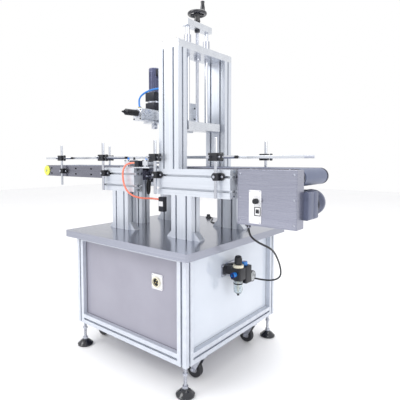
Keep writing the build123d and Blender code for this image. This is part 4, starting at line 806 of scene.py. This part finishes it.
setScrews("guideBaseBolts", "machine", baseBolts, 4.2, zincPlate)


for side in guideSides:
    standParts = []
    for x, y, backY, sign in standPlaces(side):
        spot = Vector((x * mm, y * mm, 0))
        standParts.append((plug(6, 208, spot, edge=0.9, foot=670, sides=28), groundSteel))
        # the cross clamp: two split halves round the post and the arm
        for low, high in ((-11, 11), (-26, -8.6)):
            standParts.append((blockPart(at(x + low, y - 11, railLevel - 14),
                at(x + high, y + 11, railLevel + 14), 3 * mm, 3), blackMoulding))
        # dark sheet in the split between the two clamp halves: painted shade of the gap
        standParts.append((blockPart(at(x - 8.8, y - 10, railLevel - 13),
            at(x - 8.2, y + 10, railLevel + 13), 0, 1), rubberSeal))
        for level in (railLevel - 9.5, railLevel + 9.5):
            standParts.append((plug(2.6, 1.2, at(x - 27, y, level), along, edge=0.3, sides=18), zincPlate))
        standParts.append((plug(4, 12, at(x + 10.5, y, railLevel), along, edge=0.5, sides=20), zincPlate))
        bar = prismPart(roundedOutline(12 * mm, 30 * mm, 5.4 * mm, 6), 9 * mm, 1.6 * mm)
        standParts.append((placed(bar, at(x + 20, y, railLevel), along, math.pi / 2), blackPhenolic))
        standParts.append((plug(3, 1.2, at(x + 28.6, y, railLevel), along, edge=0.4, sides=20), zincPlate))
    makePiece(side + "GuideStands", standParts, side + "_posts", [side + "_guide_posts"])

    railParts = []
    sign = guideSides[side][0]
    railY = sign * 45
    # C section holder with the polyethylene strip snapped into it
    holder = blockPart((-811 * mm, (railY - (0 if sign > 0 else 3)) * mm, 806.4 * mm),
        (766 * mm, (railY + (3 if sign > 0 else 0)) * mm, 817.6 * mm), 0.6 * mm, 2)
    inner = (railY - sign * 3) * mm
    stripBar = blockPart((-811 * mm, min(inner, railY * mm), 807.8 * mm),
        (766 * mm, max(inner, railY * mm), 816.2 * mm), 1.2 * mm, 3)
    railParts += [(holder, milledPlate), (stripBar, railPlastic)]
    for x, y, backY, sign in standPlaces(side):
        block = blockPart(((x - shiftX - 12) * mm, min(railY + sign * 3, railY + sign * 13) * mm,
            806.2 * mm), ((x - shiftX + 12) * mm, max(railY + sign * 3, railY + sign * 13) * mm,
            817.8 * mm), 1.2 * mm)
        railParts.append((block, blackMoulding))
        reach = (abs(y) + 30 - 57) * mm
        railParts.append((placed(lathePart(plugProfile(6 * mm, reach, 0.9 * mm), 24),
            at(x - shiftX, railY + sign * 12, railLevel), across * sign), groundSteel))
    makePiece(side + "GuideRail", railParts, side + "_rail", [side + "_guide_rail"])
print("guides made")


# ---- capping head: slide cylinder, arm, housing with cross cylinder and absorber, motor and chuck
headX = 0.041
cylLow, cylHigh, cylMid = bounds("head_cylinder")
cylParts = [(slab(50, 70, 4, 115, (cylMid.x, 0, cylLow.z), bevel=1.2), milledPlate)]
for y in (-0.020, 0.020):
    cylParts.append((turned(((0, 0), (6, 0), (6, 4), (5, 4.6), (5, 12), (4.4, 14), (2.2, 14), (2.2, 9),
        (0, 9)), (cylMid.x, y, cylHigh.z - 0.014), sides=24), blackMoulding))
for level in (0.935, 0.955, 0.975, 0.995):
    cylParts.append((blockPart((cylMid.x - 20 * mm, -0.0353, level),
        (cylMid.x + 20 * mm, -0.0347, level + 1.4 * mm), 0, 1), darkEnamel))
makePiece("slideCylinder", cylParts, "carriage", ["head_cylinder"])
setScrews("slideCylinderScrews", "carriage", grid((198, 232), (-35,), (925, 1010), front), 3.2)

armParts = [(slab(13.5, 70, 2, 115, (0.176 + 6.75 * mm, 0, 0.917), bevel=0.8), milledPlate),
    (blockPart((0.067, -0.025, 0.976), (0.176, 0.025, 1.016), 2.4 * mm, 3), milledPlate)]
web = prismPart([(0, 0), (-40 * mm, 0), (0, -53 * mm)], 10 * mm, 0.8 * mm)
web.transform(Matrix.Translation((0.176, 0.005, 0.976)) @ Matrix.Rotation(math.pi / 2, 4, "X"))
armParts.append((web, milledPlate))
makePiece("headArm", armParts, "head", ["head_arm"])
setScrews("headArmScrews", "head", grid((84, 108, 132, 156), (-16, 16), (1016,), (0, 0, 1)) + grid((176,),
    (-28, 28), (930, 960, 1020), (-1, 0, 0)), 3.2)

housing = prismPart(roundedOutline(52 * mm, 52 * mm, 3.4 * mm), 168 * mm, 1.4 * mm)
absorber = [(0, 0), (13.5, 0), (13.5, 6), (12.2, 7)]
for i in range(15):
    absorber += [(12.2, 8 + i * 3.2), (13.3, 9.2 + i * 3.2), (13.3, 10 + i * 3.2), (12.2, 10.8 + i * 3.2)]
absorber += [(12.6, 58), (13.5, 59), (13.5, 65), (10.5, 66), (7.6, 74), (4, 74), (4, 84), (3.2, 86),
    (0, 86)]
headParts = [(placed(housing, (headX, 0.060, 1.000), front), milledPlate),
    (blockPart((headX - 0.034, -0.038, 0.966), (headX + 0.034, 0.038, 0.974), 1 * mm), milledPlate),
    (turned(absorber, (headX, -0.108, 1.0052), front, sides=36), blackMoulding),
    (ring(13.5, 18, 3, (headX, -0.108, 1.0052), front, edge=0.6, sides=36), zincPlate),
    (hexBar(8, 6, (headX, -0.092, 1.026), bevel=0.5), brass),
    (plug(5.4, 4, (headX, -0.092, 1.032), edge=0.8, sides=24), blueHose)]
for x in (headX - 0.0263, headX + 0.0263):
    for y in (-0.085, -0.055, -0.025, 0.030):
        headParts.append((plug(3.2, 0.6, (x, y, 1.012), along * (1 if x > headX else -1), edge=0.2,
            sides=20), zincPlate))
makePiece("headHousing", headParts, "head", ["head_housing"])
setScrews("headHousingScrews", "head", grid((21, 61), (-108,), (980, 1020), front) + grid((12, 70),
    (-30, 30), (974,), (0, 0, 1)), 3)

gearParts = [(slab(60, 60, 5, 32, (headX, 0, 1.026), bevel=1.2), darkEnamel),
    (plug(31, 8, (headX, 0, 1.058), edge=0.8, sides=56), zincPlate),
    (slab(62, 62, 7, 39, (headX, 0, 1.066), bevel=1.2), darkEnamel)]
makePiece("headGearbox", gearParts, "head", ["head_gearbox"])
setScrews("headGearScrews", "head", grid((headX / mm - 24, headX / mm + 24), (-24, 24), (1105,), (0, 0, 1)),
    3.4, zincPlate)

headCan = [(0, 1105), (25, 1105), (25, 1117), (22.9, 1118), (22.9, 1194), (25, 1195), (25, 1202),
    (24, 1203), (25, 1204), (25, 1212), (23, 1214), (0, 1214)]
canParts = [(turned(headCan, (headX, 0, 0), sides=60), plumEnamel)]
for i in range(18):
    rib = blockPart(at(22.3, -1.7, 1117.5), at(24.9, 1.7, 1194.5), 0.5 * mm, 1)
    rib.transform(Matrix.Rotation(2 * math.pi * (i + 0.5) / 18, 4, "Z"))
    canParts.append((placed(rib, (headX, 0, 0)), plumEnamel))
canParts.append((blockPart((headX + 0.021, -0.013, 1.177), (headX + 0.0368, 0.013, 1.207), 2 * mm, 3),
    darkEnamel))
canParts.append((ring(24, 25.2, 1.4, (headX, 0, 1.1052), edge=0.2, sides=56), zincPlate))
makePiece("headMotorShell", canParts, "head", ["head_motor"])

cup = [(0, 956), (9.4, 955), (10.9, 943), (12.8, 943), (14, 945), (14, 950.4), (13.3, 951), (14, 951.6),
    (14, 961.6), (12.6, 964), (8, 964.4), (8, 1053), (0, 1053)]
spindleParts = [(turned(cup, (headX, 0, 0), sides=44), groundSteel),
    (turned(((9.6, 944), (10.8, 943.2), (10.4, 950), (9.4, 954.6), (8.6, 954.6), (9.6, 944)), (headX, 0, 0),
        sides=40), softRubber)]
makePiece("spindleChuck", spindleParts, "chuck", ["spindle"])

# ---- bottle stops: two compact cylinders on their plate, sensor slots as painted shade, port fittings, pads with rubber
stopParts = [(blockPart((-5 * mm, -0.170, 0.768), (0.175, -0.106, 0.773), 0.8 * mm), milledPlate),
    (blockPart((0.090, -0.172, 0.773), (0.114, -0.148, 0.799), 1.2 * mm), darkEnamel),
    (hexBar(7, 8, (0.090, -0.160, 0.790), -along, bevel=0.5), brass)]
for x in (0.035, 0.145):
    body = prismPart(roundedOutline(30 * mm, 30 * mm, 3.4 * mm), 53 * mm, 1.2 * mm)
    stopParts.append((placed(body, (x, -0.112, 0.788), front), milledPlate))
    for y in (-0.155, -0.122):
        stopParts.append((turned(((0, 0), (5, 0), (5, 3), (4.4, 4), (4.6, 8), (3.8, 10), (2.1, 10),
            (2.1, 5), (0, 5)), (x, y, 0.803), sides=20), blueHose if y < -0.14 else blackMoulding))
    # sensor slots drawn as thin dark strips: painted shade in the grooves
    for dz in (-8, 8):
        stopParts.append((blockPart((x + 0.0146, -0.160, 0.788 + dz * mm - 1.5 * mm),
            (x + 0.0152, -0.116, 0.788 + dz * mm + 1.5 * mm), 0, 1), darkEnamel))
makePiece("stopBodies", stopParts, "machine", ["stop_cylinders"])
setScrews("stopScrews", "machine", [((x + sx * 11, -165, 788 + sz * 11), front) for x in (35, 145)
    for sx in (-1, 1) for sz in (-1, 1)] + [((x, y, 773), (0, 0, 1)) for x in (4, 78, 168)
    for y in (-163, -114)], 2.6)
rodHigh = bounds("stop_rods")[1]
rodParts = []
for x in (0.035, 0.145):
    rodParts.append((placed(lathePart(plugProfile(4 * mm, 0.052, 0.5 * mm), 24), (x, -0.062, 0.790), front),
        groundSteel))
    rodParts.append((blockPart((x - 9 * mm, -0.062, 0.781), (x + 9 * mm, -0.0565, 0.799), 1 * mm),
        milledPlate))
    rodParts.append((blockPart((x - 8.6 * mm, -0.057, 0.7814), (x + 8.6 * mm, rodHigh.y, 0.7986), 1 * mm,
        3), softRubber))
makePiece("stopPads", rodParts, "stops", ["stop_rods"])

# ---- fittings: socket outlet, glands, connector, hanging valve and hook
panelFront = bounds("panel_fittings")[0].y + 12 * mm
socket = Vector((0.338, panelFront, 0.368))
fitParts = [(slab(52, 56, 4, 4, socket, front, bevel=1), whiteAbs),
    (ring(15, 19, 8, socket + front * 4 * mm, front, edge=0.8, sides=44), creamNylon),
    (plug(15, 1, socket + front * 3.6 * mm, front, edge=0.2, sides=40), inkBlack)]
for x, z in ((-5.5, -3.2), (5.5, -3.2), (0, 6.2)):
    fitParts.append((plug(2.1, 1.6, socket + Vector((x, -4.4, z)) * mm, front, edge=0.2, sides=16), brass))
for x, z in ((-21, -23), (21, -23), (-21, 23), (21, 23)):
    fitParts.append((plug(2.3, 1.2, socket + Vector((x, -3.8, z)) * mm, front, edge=0.4, sides=18),
        zincPlate))
fitParts += [(hexBar(11, 8, (panelFace, 0.114, 0.315), along, bevel=0.8), blackMoulding),
    (turned(((3.6, 0), (8, 0), (8, 7), (6.6, 11.4), (3.6, 12), (3.6, 0)),
        (panelFace + 8 * mm, 0.114, 0.315), along, sides=32), blackMoulding),
    (slab(30, 22, 3.4, 18, (0.400, 0.203, 0.504), bevel=1.2), blackMoulding),
    (turned(((0, 0), (14, 0), (14, 5), (9.4, 8), (9, 16), (7, 18), (0, 18)), (0.112, 0.318, 0.504),
        sides=36), blackMoulding),
    (blockPart((0.190, -0.107, 0.595), (0.208, -0.104, 0.745), 0.6 * mm, 1), zincPlate),
    (blockPart((0.185, -0.129, 0.590), (0.213, -0.107, 0.650), 2.4 * mm, 3), darkEnamel),
    (blockPart((0.187, -0.1296, 0.612), (0.211, -0.1284, 0.632), 0.6 * mm, 1), whiteAbs),
    (plug(3.1, 23, (0.116, -0.104, 0.733), front, edge=0.8, sides=20), zincPlate),
    (plug(4.4, 2.2, (0.116, -0.1252, 0.733), front, edge=0.6, sides=20), zincPlate)]
makePiece("fittings", fitParts, "machine", ["panel_fittings"])

# ---- door furniture, belt splice, bearing housings of the conveyor
_, doorHigh, doorMid = bounds("rear_door")
doorTrim = []
for z in (doorMid.z - 0.053, doorMid.z + 0.047):
    doorTrim.append((plug(8.6, 3, (doorHigh.x - 40 * mm, 0.312, z + 3 * mm), across, edge=0.8, sides=30),
        blackMoulding))
doorTrim.append((turned(((0, 0), (11, 0), (11, 2), (9, 3.4), (3.4, 3.4), (3.4, 2.6), (0, 2.6)),
    (doorHigh.x - 24 * mm, 0.312, doorMid.z), across, sides=32), zincPlate))
makePiece("doorTrim", doorTrim, "door")
bearParts = []
for x in (-0.705, 0.766):
    for side in (-1, 1):
        if x < 0 or side > 0:
            bearParts.append((slab(30, 42, 8, 3.2, (x, side * 0.1036, 0.744), across * side, bevel=0.8),
                milledPlate))
makePiece("rollerBearings", bearParts, "machine")
makePiece("beltSplice", [(blockPart((-0.262, -0.0895, 0.7727), (-0.2595, 0.0895, 0.7731), 0, 1),
    rubberSeal)], "machine")
print("head, stops and fittings made")

# ---- floor, light and camera
floorMaterial = surface("studioFloor", "#F4F4F6", "#FAFAFB", 0.55, (900, 900, 900), 0.05)
floorBm = bmesh.new()
bmesh.ops.create_grid(floorBm, x_segments=1, y_segments=1, size=9)
floorMesh = bpy.data.meshes.new("studioFloor")
floorBm.to_mesh(floorMesh)
floorBm.free()
floorMesh.materials.append(floorMaterial)
floor = bpy.data.objects.new("studioFloor", floorMesh)
floor.location.z = -0.0005
bpy.context.scene.collection.objects.link(floor)

world = bpy.data.worlds.new("studio")
world.use_nodes = True
world.node_tree.nodes["Background"].inputs["Color"].default_value = linear("#FFFFFF")
world.node_tree.nodes["Background"].inputs["Strength"].default_value = 1.0
bpy.context.scene.world = world


def areaLight(name, place, target, size, power):
    lamp = bpy.data.lights.new(name, "AREA")
    lamp.size = size
    lamp.energy = power
    holder = bpy.data.objects.new(name, lamp)
    holder.location = place
    holder.rotation_euler = (Vector(target) - Vector(place)).to_track_quat("-Z", "Y").to_euler()
    bpy.context.scene.collection.objects.link(holder)


areaLight("softKey", (-1.2, -3.0, 2.9), (0, 0, 0.6), 2.2, 70)
areaLight("softFill", (3.2, -1.0, 1.8), (0.2, 0, 0.6), 2.0, 26)
areaLight("softTop", (0.2, 0.6, 3.6), (0.1, 0, 0.7), 2.5, 60)

cameraPlace = {"eye": (1.281, -1.2693, 0.8048), "heading": 130.66, "pitch": -3.13, "roll": -0.18,
    "lens": 34.67, "shift": (0.0508, -0.0495)}
camera = bpy.data.cameras.new("camera")
camera.lens = cameraPlace["lens"]
camera.sensor_width = 36
camera.shift_x, camera.shift_y = cameraPlace["shift"]
heading, pitch = math.radians(cameraPlace["heading"]), math.radians(cameraPlace["pitch"])
look = Vector((math.cos(heading) * math.cos(pitch), math.sin(heading) * math.cos(pitch), math.sin(pitch)))
turn = look.to_track_quat("-Z",
    "Y").to_matrix().to_4x4() @ Matrix.Rotation(math.radians(cameraPlace["roll"]), 4, "Z")
cameraObject = bpy.data.objects.new("camera", camera)
cameraObject.matrix_world = Matrix.Translation(cameraPlace["eye"]) @ turn
bpy.context.scene.collection.objects.link(cameraObject)
bpy.context.scene.camera = cameraObject
bpy.context.scene.view_settings.view_transform = "Standard"
